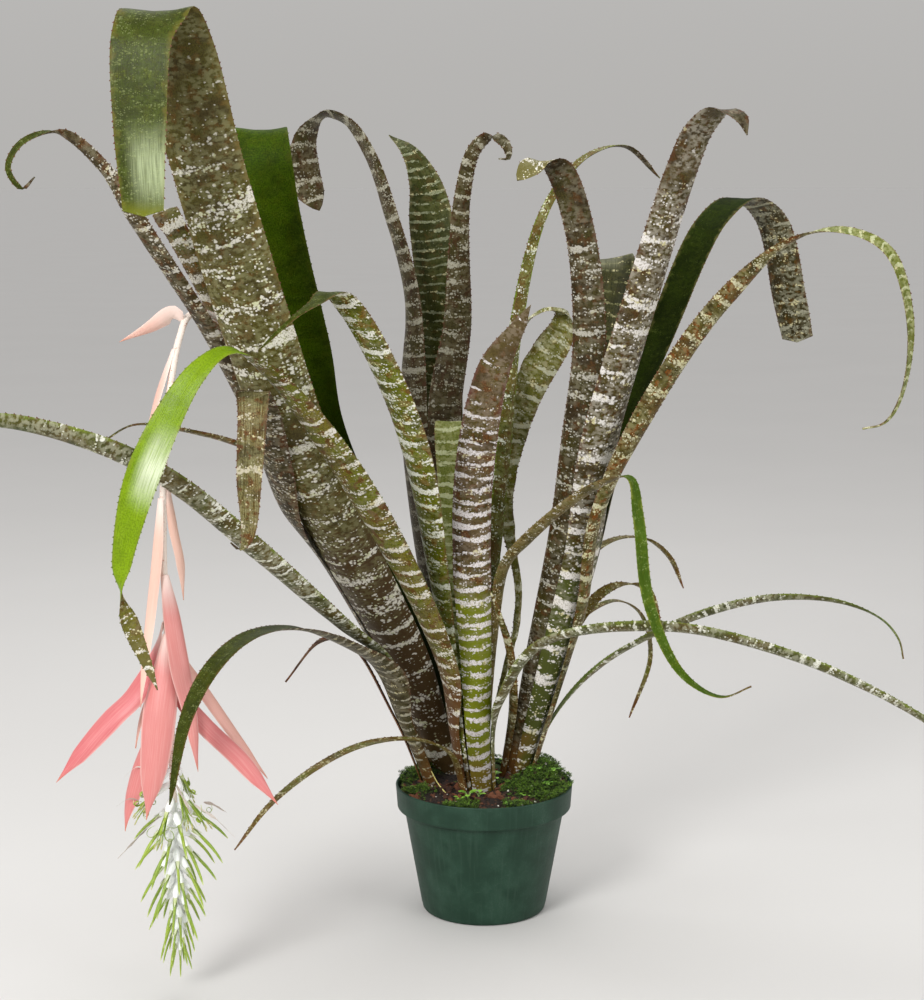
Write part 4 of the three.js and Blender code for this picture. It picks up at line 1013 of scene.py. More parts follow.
class LeafSkin(Shader):
    """The material of a leaf's face, laid on in layers: ground colour, film, bands and flecks."""

    dimensions = "2D"

    def __init__(self, name):
        super().__init__("leaf_" + name)
        self.look = {**PLAIN_SKIN, **SKINS[name]}
        self.across, self.along = self.map("skin")
        self.share = self.map("share")[0]
        self.from_foot, self.to_tip = self.map("reach")
        self.spot = self.vector(self.across, self.along)
        self.patches = self.noise(self.spot, PATCH_SIZE)
        self.blotches = self.noise(self.spot, BLOTCH_SIZE, 3)
        self.fine = self.noise(self.spot, FINE_SIZE)
        self.lines = self.noise(self.vector(self.times(self.across, 1.5), self.times(self.along, 0.04)), 1)
        fade = self.look["fade_reach"]
        self.faded = self.step(self.to_tip, fade, fade * 0.5) if fade else 0.0

    def drawn(self, share, along=None):
        """The point on the face with its width scaled, so that a noise is drawn out across it."""
        return self.vector(self.times(self.across, share), along or self.along)

    def lay(self, color, layer, mask, tint=None):
        """Lays one of the skin's layers over a colour where its mask shows."""
        mask = self.times(mask, self.look.get(layer + "_share", 1.0))
        return self.mix(mask, color, self.look[tint or layer])

    def ground(self):
        """Patches and blotches of the living tissue, with rubbed margins and a darker foot."""
        clouds = self.noise(self.drawn(0.5), 15, 3)
        margin = self.add(self.margin(self.share), self.shift(self.blotches, 0.6))
        low = self.add(self.from_foot, self.shift(self.patches, 90.0))
        reach, tip = self.look["foot_reach"], self.look["tip_reach"]
        color = self.lay(self.look["base"], "second", self.step(self.patches, 0.42, 0.58))
        color = self.lay(color, "line", self.step(self.lines, 0.42, 0.6))
        color = self.lay(color, "shade", self.step(clouds, 0.52, 0.34))
        color = self.lay(color, "blotch", self.step(self.blotches, 0.53, 0.63))
        color = self.lay(color, "grain", self.step(self.fine, 0.56, 0.36), "shade")
        color = self.lay(color, "edge", self.step(margin, 0.78, 1.05))
        color = self.lay(color, "foot", self.step(low, reach + 25, reach - 25))
        color = self.lay(color, "root", self.step(low, 62.0, 20.0))
        return self.lay(color, "tip", self.step(self.to_tip, tip, 0.0)) if tip else color

    def film(self, color):
        """A soft grey bloom in small clouds, faintly drawn out across the leaf."""
        puffs = self.step(self.noise(self.drawn(0.65), 3.2), 0.36, 0.62)
        cover = self.times(puffs, self.step(self.noise(self.spot, 19), 0.3, 0.6))
        reach = self.look["foot_reach"]
        cover = self.times(cover, self.step(self.from_foot, reach * 0.45, reach * 1.1))
        return self.lay(color, "film", cover)

    def bands(self):
        """How high the surface stands in the pattern of torn silver bands; bands lie above zero."""
        look = self.look
        spacing = look["band_spacing"]
        bow = self.times(self.math("POWER", self.minus(self.share, 0.5), 2.0), look["bow"])
        slow = self.shift(self.noise(self.drawn(0.2), 70, 1), look["drift"] * spacing)
        wavy = self.shift(self.noise(self.spot, 13, 1), look["wavy"])
        level = self.add(self.add(self.along, slow), self.minus(wavy, bow))
        wave = self.math("COSINE", self.times(level, TURN / spacing))
        lens = self.noise(self.drawn(0.2, level), spacing * 0.45, 3)
        height = self.add(self.times(wave, look["regular"]), self.shift(lens, look["broken"]))
        tear = self.shift(self.noise(self.drawn(0.8), 2.4, 2, 0.6), look["torn"])
        height = self.minus(self.add(height, tear), look["band_floor"])
        return self.minus(height, self.times(self.faded, 1.2))

    def fleck_layer(self, size, crowd, swell, seed):
        """Oval flecks in cells of a size: the more crowded, the larger, until they run together."""
        bent = self.shift(self.fine, size * 0.2)
        across = self.times(self.add(self.add(self.across, bent), seed), 0.9)
        along = self.times(self.minus(self.along, bent), 1.08)
        distance, chance = self.cells(self.vector(across, along), size)
        excess = self.minus(crowd, chance)
        radius = self.add(self.math("MINIMUM", self.add(self.times(excess, 0.7), 0.07), 0.35), swell)
        return self.times(self.step(self.minus(radius, distance), -0.09, 0.16), self.step(excess, 0.0, 0.36))

    def flecks(self, bands):
        """Flecks in rows across the leaf, closest along the bands and merged within them."""
        look = self.look
        rows = self.step(self.noise(self.drawn(0.4), 5.0, 3, 0.6), 0.36, 0.7)
        region = self.step(self.noise(self.spot, 24, 1), 0.3, 0.62)
        loose = self.times(self.add(rows, self.times(region, 0.3)), look["speck_share"])
        near = self.times(self.step(bands, -1.0, 0.4), look["fringe"])
        swell = self.times(self.step(bands, -0.2, 0.8), 0.3)
        crowd = self.minus(self.add(loose, near), self.times(self.faded, 0.3))
        small = self.fleck_layer(look["speck_size"] * 0.7, self.times(crowd, 0.85), swell, 0.0)
        large = self.fleck_layer(look["speck_size"] * 1.35, self.times(crowd, 0.7), swell, 41.0)
        return self.math("MAXIMUM", small, large)

    def made(self):
        """The finished material, with all its layers and its relief."""
        look = self.look
        bands = self.bands()
        fleck = self.times(self.flecks(bands), look["speck_cover"])
        fleck = self.times(fleck, self.between(self.faded, 1.0, 0.6))
        band = self.times(self.step(bands, 0.0, 0.65), look["band_cover"])
        creamy = self.step(self.blotches, 0.5, 0.62)
        color = self.mix(fleck, self.film(self.ground()), self.mix(creamy, look["band"], look["speck"]))
        pores = self.times(self.step(self.fine, 0.5, 0.66), 0.8)
        color = self.mix(band, color, self.mix(pores, look["band"], look["film"]))
        # A pale streaky patch at a set reach from the tip: a painted highlight on the flap and bright skins,
        # and a pale patch near the tip on shaded_green.
        if look["highlight_patch_at"]:
            off = self.apart(self.add(self.to_tip, self.shift(self.patches, 14.0)), look["highlight_patch_at"])
            highlight_patch = self.times(self.step(off, look["highlight_patch_reach"], 0.0), self.step(self.share, 0.12, 0.55))
            streaked = self.add(self.times(self.step(self.lines, 0.3, 0.62), 0.5), 0.5)
            color = self.lay(color, "highlight_patch", self.times(highlight_patch, streaked))
        # Painted shade: the colour darkens towards the shade tint near the foot, deep in the rosette.
        if look["deep_shade_reach"]:
            low = self.add(self.from_foot, self.shift(self.patches, 60.0))
            deep = self.step(low, look["deep_shade_reach"] * 1.25, look["deep_shade_reach"] * 0.4)
            color = self.lay(color, "deep", deep, "shade")
        scales = self.math("MAXIMUM", band, fleck)
        gloss = self.add(self.shift(self.fine, 0.16), self.between(scales, look["gloss"], 0.66))
        uneven = self.times(self.add(self.fine, scales), 0.3)
        self.bump(self.add(self.times(self.lines, 0.45), uneven), look["relief"])
        return self.finish(Base_Color=color, Roughness=gloss, Specular_IOR_Level=look["shine"])


def bract_skin(tone):
    """Coral to peach satin, paler along fine veins and towards the foot."""
    sh = Shader(f"bract_{round(tone * 100)}")
    across, along = sh.map("skin")
    from_foot, to_tip = sh.map("reach")
    place = sh.vector(across, along)
    veins = sh.noise(sh.vector(sh.times(across, 1.5), sh.times(along, 0.03)), 1.0)
    fine = sh.noise(place, 1.5, 3)
    color = sh.mix(tone, sh.coat(CORAL, CORAL_DEEP, 0.35, sh.noise(place, 22), 0.3, 0.7), PEACH)
    color = sh.coat(color, CREAM, 0.35, sh.margin(sh.map("share")[0]), 0.8, 1.0)
    color = sh.coat(color, CREAM, 0.1, veins, 0.4, 0.7)
    color = sh.coat(color, CREAM, 0.85, from_foot, 34.0, 0.0)
    color = sh.coat(color, DRY_TIP, 0.6, to_tip, 12.0, 0.0)
    sh.bump(sh.blend(veins, 0.7, fine), 0.18)
    return sh.finish(Base_Color=color, Roughness=sh.between(fine, 0.4, 0.5))


def mealy(name, base, dusting, share):
    """A stem or ovary under white meal, rubbed through in places."""
    sh = Shader(name)
    place = sh.place()
    meal = sh.noise(place, 1.4, 4, 0.65)
    patch = sh.noise(place, 7, 3)
    cover = sh.blend(meal, 0.7, patch)
    color = sh.coat(base, BLACK, 0.2, patch, 0.35, 0.7)
    color = sh.mix(sh.step(cover, 0.62 - 0.3 * share, 0.68 - 0.3 * share), color, dusting)
    sh.bump(cover, 0.5)
    return sh.finish(Base_Color=color, Roughness=sh.between(meal, 0.6, 0.85))


def tender(name, base, other, tip):
    """Thin green tissue, striped lengthwise by its map and paler at the tip."""
    sh = Shader(name)
    share, tone = sh.map("tone")
    place = sh.place()
    cloud = sh.add(sh.noise(place, 5, 3), sh.times(tone, 0.3))
    fine = sh.noise(place, 0.8)
    color = sh.mix(sh.step(cloud, 0.4, 0.85), base, other)
    color = sh.coat(color, tip, 0.3, fine, 0.5, 0.7)
    color = sh.mix(sh.step(share, 0.86, 1.0), color, tip)
    sh.bump(fine, 0.2)
    return sh.finish(Base_Color=color, Roughness=sh.between(fine, 0.35, 0.5))


def pot_plastic():
    """Dark green moulded plastic with a faint painted sheen in pale vertical streaks, scuffed, with specks
    of dust.
    """
    sh = Shader("pot_plastic")
    place = sh.place()
    x, y, z = sh.parts(place)
    around = sh.times(sh.math("ARCTAN2", y, x), 60.0)
    sheen_streaks = sh.noise(sh.vector(around, sh.times(z, 0.05)), 2.4, 3)
    clouds = sh.noise(place, 22, 3)
    grain = sh.noise(place, 0.55)
    scuffs = sh.noise(sh.vector(sh.times(around, 0.2), z), 1.6, 4, 0.7)
    color = sh.mix(sh.step(clouds, 0.36, 0.66), (25, 52, 38), (34, 63, 48))
    # Painted sheen: pale vertical streaks all round the pot.
    color = sh.coat(color, (50, 73, 60), 0.35, sheen_streaks, 0.5, 0.72)
    color = sh.coat(color, (78, 98, 86), 0.4, scuffs, 0.64, 0.74)
    color = sh.coat(color, (88, 104, 94), 0.35, sh.add(grain, sh.times(clouds, 0.5)), 0.86, 1.0)
    sh.bump(sh.blend(grain, 0.6, scuffs), 0.12)
    gloss = sh.between(scuffs, 0.42, 0.62)
    return sh.finish(Base_Color=color, Roughness=gloss, Specular_IOR_Level=0.25)


def soil_skin():
    """Dark peat between bark crumbs, greener where the map says that moss covers it."""
    sh = Shader("soil_ground")
    place = sh.place()
    crumbs, chance = sh.cells(place, 3.2)
    fine = sh.noise(place, 1.2, 3, 0.65)
    color = sh.mix(sh.step(fine, 0.36, 0.66), (20, 14, 10), (48, 32, 22))
    color = sh.mix(sh.times(sh.step(chance, 0.72, 0.8), sh.step(crumbs, 0.5, 0.3)), color, (86, 48, 28))
    green = sh.mix(sh.step(fine, 0.35, 0.65), (20, 34, 6), (62, 86, 18))
    cover = sh.add(sh.map("moss")[0], sh.shift(fine, 0.8))
    color = sh.mix(sh.step(cover, 0.4, 0.62), color, green)
    sh.bump(sh.blend(fine, 0.6, crumbs), 1.6)
    return sh.finish(Base_Color=color, Roughness=0.875)


def toned(name, dark, light, rough=0.8, grain=1.2, depth=0.4):
    """Plain tissue, bark or straw whose lightness follows the tone of each piece."""
    sh = Shader(name)
    share, tone = sh.map("tone")
    fine = sh.noise(sh.place(), grain, 3, 0.6)
    lit = sh.add(sh.times(tone, 0.7), sh.times(fine, 0.5))
    color = sh.mix(sh.step(lit, 0.15, 0.95), dark, light)
    color = sh.coat(color, light, 0.35, share, 0.5, 1.0)
    sh.bump(fine, depth)
    return sh.finish(Base_Color=color, Roughness=rough)


def floor_finish():
    """Pale matt paper with the faintest mottle."""
    sh = Shader("floor_paper")
    color = sh.mix(sh.noise(sh.place(), 400, 3), (205, 203, 200), (210, 208, 205))
    return sh.finish(Base_Color=color, Roughness=0.9)


def face_ring(count, strips):
    """Faces of a swept blade, and the material of each."""
    ring = 2 * strips
    faces, materials = [], []
    for low in range(0, (count - 1) * ring, ring):
        high = low + ring
        for k in range(strips):
            faces.append((low + k, high + k, high + k + 1, low + k + 1))
            a, b = (ring - k) % ring, ring - k - 1
            faces.append((low + a, low + b, high + b, high + a))
            materials += [INNER, OUTER]
    faces.append(tuple(range(ring)))
    faces.append(tuple(range(count * ring - 1, (count - 1) * ring - 1, -1)))
    return faces, materials + [OUTER, OUTER]


def blade(
    bag, rows, azimuth, thick, step, number, taper=LEAF_TIP_TAPER, wave=WAVE, calm=0.0, crumple=CRUMPLE
):
    """Adds a blade swept along its rows and returns its margins, for the teeth."""
    curve = Curve([row[:3] for row in rows])
    at = curve.stations(step)
    points, tangents = curve.at(at)
    columns = np.array(rows, float)[:, 3:].T
    width, cup, turn = (eased(column, at) for column in columns)
    cup = np.radians(np.maximum(cup, LEAST_CUP))
    across, inward = blade_axes(tangents, azimuth, turn)
    along = np.concatenate([[0.0], np.cumsum(np.linalg.norm(np.diff(points, axis=0), axis=1))])
    to_tip = along[-1] - along
    width = width * np.clip(to_tip / taper, 0.001, 1.0) ** 0.55
    strips = int(np.clip(columns[0].max() / STRIP_WIDTH, *STRIPS))
    share = np.linspace(0, 1, strips + 1)
    angle = cup[:, None] * (share - 0.5)[None, :]
    radius = (width / cup)[:, None]
    across, inward = across[:, None, :], inward[:, None, :]
    normal = inward * np.cos(angle)[..., None] - across * np.sin(angle)[..., None]
    middle = points[:, None, :] + across * (radius * np.sin(angle))[..., None]
    middle = middle + inward * (radius * (1 - np.cos(angle)))[..., None]
    body = thick / 2 * np.sqrt(1 - np.abs(2 * share - 1) ** 4)
    ripple = np.array([
        [
            wobble(u * 2.2, l / WAVE_LENGTH, number) + crumple * wobble(u * 5, l / CRUMPLE_LENGTH, number)
            for u in share
        ]
        for l in along
    ])
    free = smooth(along, calm, calm + WAVE_START)
    ripple = ripple * (SHEATH_WAVE + (wave - SHEATH_WAVE) * free)[:, None]
    inner = middle + normal * (body[None, :] + ripple)[..., None]
    outer = middle + normal * (ripple - body[None, :])[..., None]
    rings = np.concatenate([inner, outer[:, strips - 1 : 0 : -1]], axis=1)
    shares = np.concatenate([share, share[strips - 1 : 0 : -1]])
    skin = [((u - 0.5) * w, l + number * PATTERN_SHIFT) for w, l in zip(width, along) for u in shares]
    place = [(u, 0.0) for _ in at for u in shares]
    reach = [(l, t) for l, t in zip(along, to_tip) for _ in shares]
    bag.add(rings.reshape(-1, 3), *face_ring(len(at), strips), skin=skin, share=place, reach=reach)
    left = (middle[:, 0], -unit(middle[:, 1] - middle[:, 0]))
    right = (middle[:, -1], unit(middle[:, -1] - middle[:, -2]))
    return tangents, normal[:, strips // 2], along, (left, right)


def teeth(bag, margins, first, rng):
    """Small forward hooks along both margins of a blade."""
    tangents, normals, along, sides = margins
    for edge, outward in sides:
        l = first + rng.uniform(0, TOOTH_SPACING)
        while l < along[-1] - TOOTHLESS_TIP:
            i = int(np.searchsorted(along, l))
            f = (l - along[i - 1]) / max(along[i] - along[i - 1], 1e-6)
            base = edge[i - 1] * (1 - f) + edge[i] * f
            forward, out = tangents[i], outward[i]
            size = rng.uniform(0.7, 1.15)
            root = base - out * TOOTH_INSET
            half = forward * TOOTH_WIDTH * size
            tip = base + out * TOOTH_LENGTH * size + forward * TOOTH_LEAN * size
            corners = [root - half, root + half, root + normals[i] * TOOTH_RISE, tip]
            bag.add(corners, [(0, 1, 3), (1, 2, 3), (2, 0, 3), (0, 2, 1)], TOOTH)
            l += TOOTH_SPACING * rng.uniform(0.7, 1.3)


def add_leaves():
    """All leaves, each with the skins of its inner and outer face and its teeth."""
    skins = {name: LeafSkin(name).made() for name in SKINS}
    brown_tooth = toned("leaf_tooth", (92, 56, 36), (150, 100, 62))
    green_tooth = toned("leaf_tooth_green", (86, 98, 26), (136, 150, 60))
    for number, (name, leaf) in enumerate(LEAVES.items()):
        rng = random.Random(number + LEAF_SEED)
        rosette = name.removeprefix("leaf_")[0]
        sheath = sheath_rows(ROSETTES[rosette], leaf)
        clasped = sum(np.linalg.norm(np.subtract(b[:3], a[:3])) for a, b in zip(sheath, sheath[1:]))
        shape = {key: leaf[key] for key in ("taper", "wave", "crumple") if key in leaf}
        bag = Bag()
        rows = sheath + leaf["blade"]
        margins = blade(
            bag, rows, leaf["azimuth"], LEAF_THICK, LEAF_STATION, number + 1.0, calm=clasped, **shape
        )
        teeth(bag, margins, clasped + TOOTHLESS_FOOT, rng)
        tooth = green_tooth if leaf["inner"] in GREEN_TOOTHED else brown_tooth
        slot = "leaf_green" if name in GREEN_LEAVES else "leaf"
        materials = [skins[leaf["inner"]], skins[leaf["outer"]], tooth]
        bag.finish(name.replace("leaf", "blade"), name, slot, materials)


def scape_hanging():
    """Points of the hanging part of the scape."""
    curve = Curve(SCAPE_ROUTE)
    points = curve.at(np.linspace(0, curve.spans, SCAPE_SAMPLES + 1))[0]
    return points[points[:, 0] < SCAPE_HANGS_PAST_X]


def bract_foot(bract, hanging):
    """The row where a bract clasps the scape."""
    at = hanging[np.argmin(np.abs(hanging[:, 2] - bract["seat"]))]
    out = polar(SCAPE_RADIUS + BRACT_THICK / 2 + BRACT_GAP, math.radians(bract["side"]))
    return [*(at + out), BRACT_FOOT_WIDTH, BRACT_FOOT_CUP, bract["twist"]]


def add_bracts():
    """The bracts of the scape, as thin blades of satin."""
    hanging = scape_hanging()
    for number, (name, bract) in enumerate(BRACTS.items()):
        bag = Bag()
        rows = [bract_foot(bract, hanging)] + bract["blade"]
        thick = BRACT_THICK * BRACT_THINNED
        pattern = number + FIRST_BRACT
        blade(bag, rows, bract["azimuth"], thick, BRACT_STATION, pattern, taper=BRACT_TAPER, wave=BRACT_WAVE)
        skin = bract_skin(bract["tone"])
        bag.finish(name.replace("bract", "petaloid"), name, "bract", [skin, skin])


def add_scape():
    """The stalk, faintly ridged and swollen."""
    path = Curve(SCAPE_ROUTE).path(SCAPE_STATION)
    swell = np.array([1 + 0.05 * wobble(i * 0.23, 3.1, 0.4) for i in range(len(path))])
    bag = Bag()
    bag.sweep(tube_rings(path, SCAPE_RADIUS * swell, 14, lobes=7, lobe_depth=0.03))
    bag.finish("stalk", "scape", "scape", [mealy("scape_meal", (214, 150, 128), (240, 226, 214), 0.8)])


def hanging_direction(spread, around):
    """A direction that leans by a spread from straight down, to one side."""
    spread, around = math.radians(spread), math.radians(around)
    return np.array(polar(math.sin(spread), around, -math.cos(spread)))


def bent_path(start, first, last, length, count):
    """Points of a path that sets off one way and bends into another."""
    share = np.linspace(0, 1, count)[:, None]
    steps = unit(first * (1 - share) + last * share) * length / (count - 1)
    return start + np.cumsum(np.vstack([np.zeros(3), steps[1:]]), axis=0)


def add_ovary(bag, at, direction, droop, size):
    """A ridged mealy ovary with three clasping sepals; returns the flower's mouth and direction."""
    radii = OVARY_RADIUS * size * np.array(OVARY_SHAPE)
    path = bent_path(at, direction, unit(direction * 0.6 + droop * 0.4), OVARY_LENGTH * size, len(radii))
    bag.sweep(tube_rings(path, radii, 14, lobes=6, lobe_depth=0.06), MEAL)
    tangents, a, b = frames_along(path)
    mouth, forward = path[-1], tangents[-1]
    widths = SEPAL_WIDTH * size * np.array(SEPAL_SHAPE)
    s = np.linspace(0, 1, len(widths))
    gap = BUD_RADIUS * size * (1.15 + 0.3 * s)
    for k in range(PETALS):
        out = spoke(a[-1], b[-1], TURN * k / PETALS + 0.4)
        strip = mouth + np.outer(s * SEPAL_LENGTH * size - 1.5, forward) + gap[:, None] * out
        bag.sweep(ribbon_rings(strip, np.cross(forward, out), widths, 0.5), SEPAL, 0.4)
    return mouth, forward


def add_bud(bag, mouth, forward, droop, size, rng):
    """A closed corolla: three petals wound into one long needle with a blunt pale end."""
    radii = BUD_RADIUS * size * np.array(BUD_SHAPE)
    length = BUD_LENGTH * size * rng.uniform(0.85, 1.12)
    path = bent_path(mouth - forward, forward, droop, length, len(radii))
    bag.sweep(tube_rings(path, radii, 12, lobes=PETALS, lobe_depth=0.13, twist=2.4), PETAL, rng.random())


def add_open_flower(bag, mouth, direction, coil, size, rng):
    """Three petals coiled back like watch springs, with the stamens hanging free."""
    _, a, b = frames_along(np.array([mouth, mouth + direction]))
    s = np.linspace(0, 1, PETAL_STATIONS)
    for k in range(PETALS):
        out = spoke(a[0], b[0], TURN * (k + rng.uniform(-0.08, 0.08)) / PETALS)
        side = np.cross(direction, out)
        bend = np.radians(6 + coil * rng.uniform(0.75, 1.1) * smooth(s, 0.3, 1.0) ** 1.3)[:, None]
        steps = PETAL_LENGTH * size / PETAL_STATIONS * (np.cos(bend) * direction + np.sin(bend) * out)
        slip = np.outer(s * 2.5 * rng.uniform(0.6, 1.2), side)
        path = mouth + out * 0.8 + np.cumsum(steps, axis=0) + slip
        widths = PETAL_WIDTH * size * np.clip(1.1 - s, 0.15, 1.0) ** 0.5
        bag.sweep(ribbon_rings(path, side, widths, 0.45), PETAL, rng.random())
    s = np.linspace(0, 1, 9)
    for k in range(STAMENS):
        out = spoke(a[0], b[0], TURN * k / STAMENS)
        length = STAMEN_LENGTH * size * rng.uniform(0.8, 1.1)
        path = mouth + np.outer(s * length, direction) + np.outer(0.6 + 2.2 * s * s, out)
        path[:, 2] -= 4.0 * s * s
        bag.sweep(tube_rings(path, STAMEN_RADIUS, 5), PETAL, 0.9)
        anther = path[-1] + np.outer(np.linspace(-2.0, 2.0, 5), unit(path[-1] - path[-2]))
        bag.sweep(tube_rings(anther, ANTHER_RADII, 6), ANTHER, 0.6)


def add_withered(bag, rng):
    """Withered petals, twisted and thin at the end."""
    for start, bend, end, width in WITHERED:
        path = Curve([start, bend, end]).path(2.0)
        count = len(path)
        turns = np.linspace(0, rng.uniform(2, 4), count)[:, None]
        _, a, b = frames_along(path)
        widths = width * np.array([0.7 + 0.3 * math.sin(i * 0.9) for i in range(count)])
        widths *= np.clip(np.linspace(1.6, 0.1, count), 0, 1)
        curl = np.outer([0.5 * wobble(i * 0.5, width, 1.0) for i in range(count)], UP)
        rings = ribbon_rings(path + curl, a * np.cos(turns) + b * np.sin(turns), widths, 0.4)
        bag.sweep(rings, WITHERED_SKIN, rng.random())


def add_spike():
    """The flower spike: rachis, ovaries, buds, open flowers and withered petals."""
    bag = Bag()
    rng = random.Random(SPIKE_SEED)
    s = np.linspace(0, 1, 30)
    root = SPIKE_TOP + UP * SPIKE_OVERLAP
    rachis = root + np.outer(s, SPIKE_TIP - root)
    bag.sweep(tube_rings(rachis, RACHIS_RADIUS * (1.1 - 0.6 * s), 10, lobes=5, lobe_depth=0.08), MEAL)
    for n in range(FLOWERS):
        share = (n + 0.5) / FLOWERS
        around = n * GOLDEN_ANGLE + 20 + rng.uniform(-10, 10)
        direction, droop = (
            hanging_direction(most + (least - most) * share + rng.uniform(-7, 7), around)
            for most, least in (OVARY_SPREAD, BUD_SPREAD)
        )
        size = (1 - 0.34 * share * share) * rng.uniform(0.9, 1.08)
        at = SPIKE_TOP + (SPIKE_TIP - SPIKE_TOP) * (0.01 + 0.96 * share) + direction * 1.2
        mouth, forward = add_ovary(bag, at, direction, droop, size)
        add_bud(bag, mouth, forward, droop, size, rng)
    for height, around, spread, coil in OPEN_FLOWERS:
        direction, droop = hanging_direction(spread, around), hanging_direction(spread * 0.5, around)
        at = SPIKE_TOP + UP * height + direction * 2.0
        mouth, forward = add_ovary(bag, at, direction, droop, 0.95)
        add_open_flower(bag, mouth, forward, coil, 0.9, rng)
    add_withered(bag, rng)
    bag.finish("inflorescence", "flower_spike", "flower", [
        mealy("ovary_meal", (206, 212, 186), (242, 244, 242), 1.0),
        tender("petal_green", (150, 172, 52), (124, 152, 38), (204, 212, 150)),
        tender("sepal_pale", (176, 190, 120), (206, 212, 176), (230, 232, 216)),
        toned("anther", (92, 104, 70), (196, 190, 120)),
        toned("withered_petal", (150, 138, 126), (214, 204, 194), 0.85, 1.0, 0.5),
    ])


def lathe_rings(profile, sides):
    """Rings turned round the pot's axis from points of radius and height."""
    angles = np.linspace(0, TURN, sides, endpoint=False)
    return np.array([[polar(r, a, z) for a in angles] for r, z in profile])


def corner(radius, height, steps):
    """The points of a rounded corner of the pot."""
    return [(radius + dr, height + dz) for dr, dz in steps]


def add_pot():
    """The pot: up the outside from its foot, over the rim and down the inside to its floor."""
    lip_foot = POT_HEIGHT - POT_LIP_HEIGHT
    lip = POT_RIM_RADIUS - POT_LIP_STEP
    inner_foot = POT_FOOT_RADIUS - POT_WALL
    flare = POT_SHOULDER_RADIUS - POT_FOOT_RADIUS
    profile = [(r, 0.0) for r in POT_BASE_RINGS] + corner(POT_FOOT_RADIUS, 0.0, FOOT_CORNER)
    profile += [(POT_FOOT_RADIUS + flare * s, lip_foot * s) for s in np.linspace(0.06, 0.985, 14)]
    profile += corner(POT_SHOULDER_RADIUS, lip_foot, SHOULDER_CORNER) + corner(lip, lip_foot, LIP_CORNER)
    profile += [
        (lip + POT_LIP_STEP * s, lip_foot + POT_LIP_HEIGHT * s) for s in np.linspace(0.12, 0.94, 7)
    ]
    profile += corner(POT_RIM_RADIUS, POT_HEIGHT, RIM_CORNER)
    profile += [
        (lip - POT_WALL + 0.2, lip_foot + 6), (lip - POT_WALL, lip_foot + 2 * POT_WALL),
        (POT_SHOULDER_RADIUS - POT_WALL, lip_foot + POT_WALL / 2), (inner_foot, POT_FLOOR + 0.4),
        (inner_foot - 1, POT_FLOOR), (POT_BASE_RINGS[0], POT_FLOOR),
    ]
    bag = Bag()
    bag.sweep(lathe_rings(profile, POT_SIDES))
    bag.finish("nursery_pot", "pot", "pot", [pot_plastic()], sharp=40.0)


def soil_height(x, y):
    """The height of the soil without its crumbs."""
    r2 = (x * x + y * y) / POT_RIM_RADIUS ** 2
    z = SOIL_EDGE + SOIL_CROWN * (1 - r2)
    for mx, my, rise, spread in MOUNDS:
        z += rise * hump(x - mx, y - my, spread)
    return z + 0.8 * math.sin(x * 0.31 + 1) * math.cos(y * 0.27) * (1 - r2)


def moss_cover(x, y):
    """How much moss covers a point of the soil, from zero to about one."""
    cover = max(strength * hump(x - mx, y - my, reach) for mx, my, reach, strength in MOSS_BEDS)
    return cover + 0.32 * wobble(x / 9, y / 9, 4.2) + 0.12 * wobble(x / 3, y / 3, 1.2)


def ground(x, y):
    """The height of the fine soil, with crumbs and cushions of moss."""
    crumbs = 0.9 * wobble(x / 4.5, y / 4.5, 0.0) + 0.55 * wobble(x / 1.9, y / 1.9, 7.0)
    cushion = 3.2 * max(0.0, min(1.0, moss_cover(x, y) * 1.6 - 0.5))
    return soil_height(x, y) + crumbs + cushion


def add_soil():
    """The soil: two plain rings down its side, and rings of uneven ground from edge to middle."""
    profile = SOIL_LOW_RINGS + [(r, 0.0) for r in np.linspace(SOIL_RADIUS, SOIL_MIDDLE, SOIL_RINGS)]
    rings = lathe_rings(profile, SOIL_SIDES)
    moss = [(0.0, 0.0)] * (len(SOIL_LOW_RINGS) * SOIL_SIDES)
    for point in rings[len(SOIL_LOW_RINGS):].reshape(-1, 3):
        point[2] = ground(point[0], point[1])
        moss.append((moss_cover(point[0], point[1]), 0.0))
    bag = Bag()
    bag.sweep(rings, moss=moss)
    bag.finish("potting_mix", "soil", "soil", [soil_skin()], sharp=180.0)


def open_soil(rng, reach):
    """A random point of the soil that no rosette stands on."""
    while True:
        x, y, _ = polar(reach * math.sqrt(rng.random()), rng.uniform(0, TURN))
        if all(math.hypot(x - fx, y - fy) > fr for fx, fy, fr in ROSETTE_FEET):
            return x, y


def rock():
    """The points and faces of the icosahedron that crumbs and chips are cut from."""
    golden = (1 + math.sqrt(5)) / 2
    signs = [(s, t * golden) for s in (-1, 1) for t in (-1, 1)]
    points = [(s, t, 0) for s, t in signs] + [(0, s, t) for s, t in signs]
    points = np.array(points + [(t * golden, 0, s) for s in (-1, 1) for t in (-1, 1)], float)
    faces = []
    for i, j, k in itertools.combinations(range(len(points)), 3):
        a, b, c = points[[i, j, k]]
        if max(np.linalg.norm(a - b), np.linalg.norm(b - c), np.linalg.norm(c - a)) < ROCK_EDGE:
            out = np.dot(np.cross(b - a, c - a), a) > 0
            faces.append((i, j, k) if out else (i, k, j))
    return points / ROCK_RADIUS, faces


def turned(points, rng):
    """Points turned at random about the origin."""
    yaw, pitch, roll = (rng.uniform(-1, 1) * limit for limit in (math.pi, 0.7, 0.7))
    for a, b, angle in ((0, 1, yaw), (1, 2, pitch), (2, 0, roll)):
        cos, sin = math.cos(angle), math.sin(angle)
        pa, pb = points[:, a].copy(), points[:, b].copy()
        points[:, a], points[:, b] = pa * cos - pb * sin, pa * sin + pb * cos
    return points


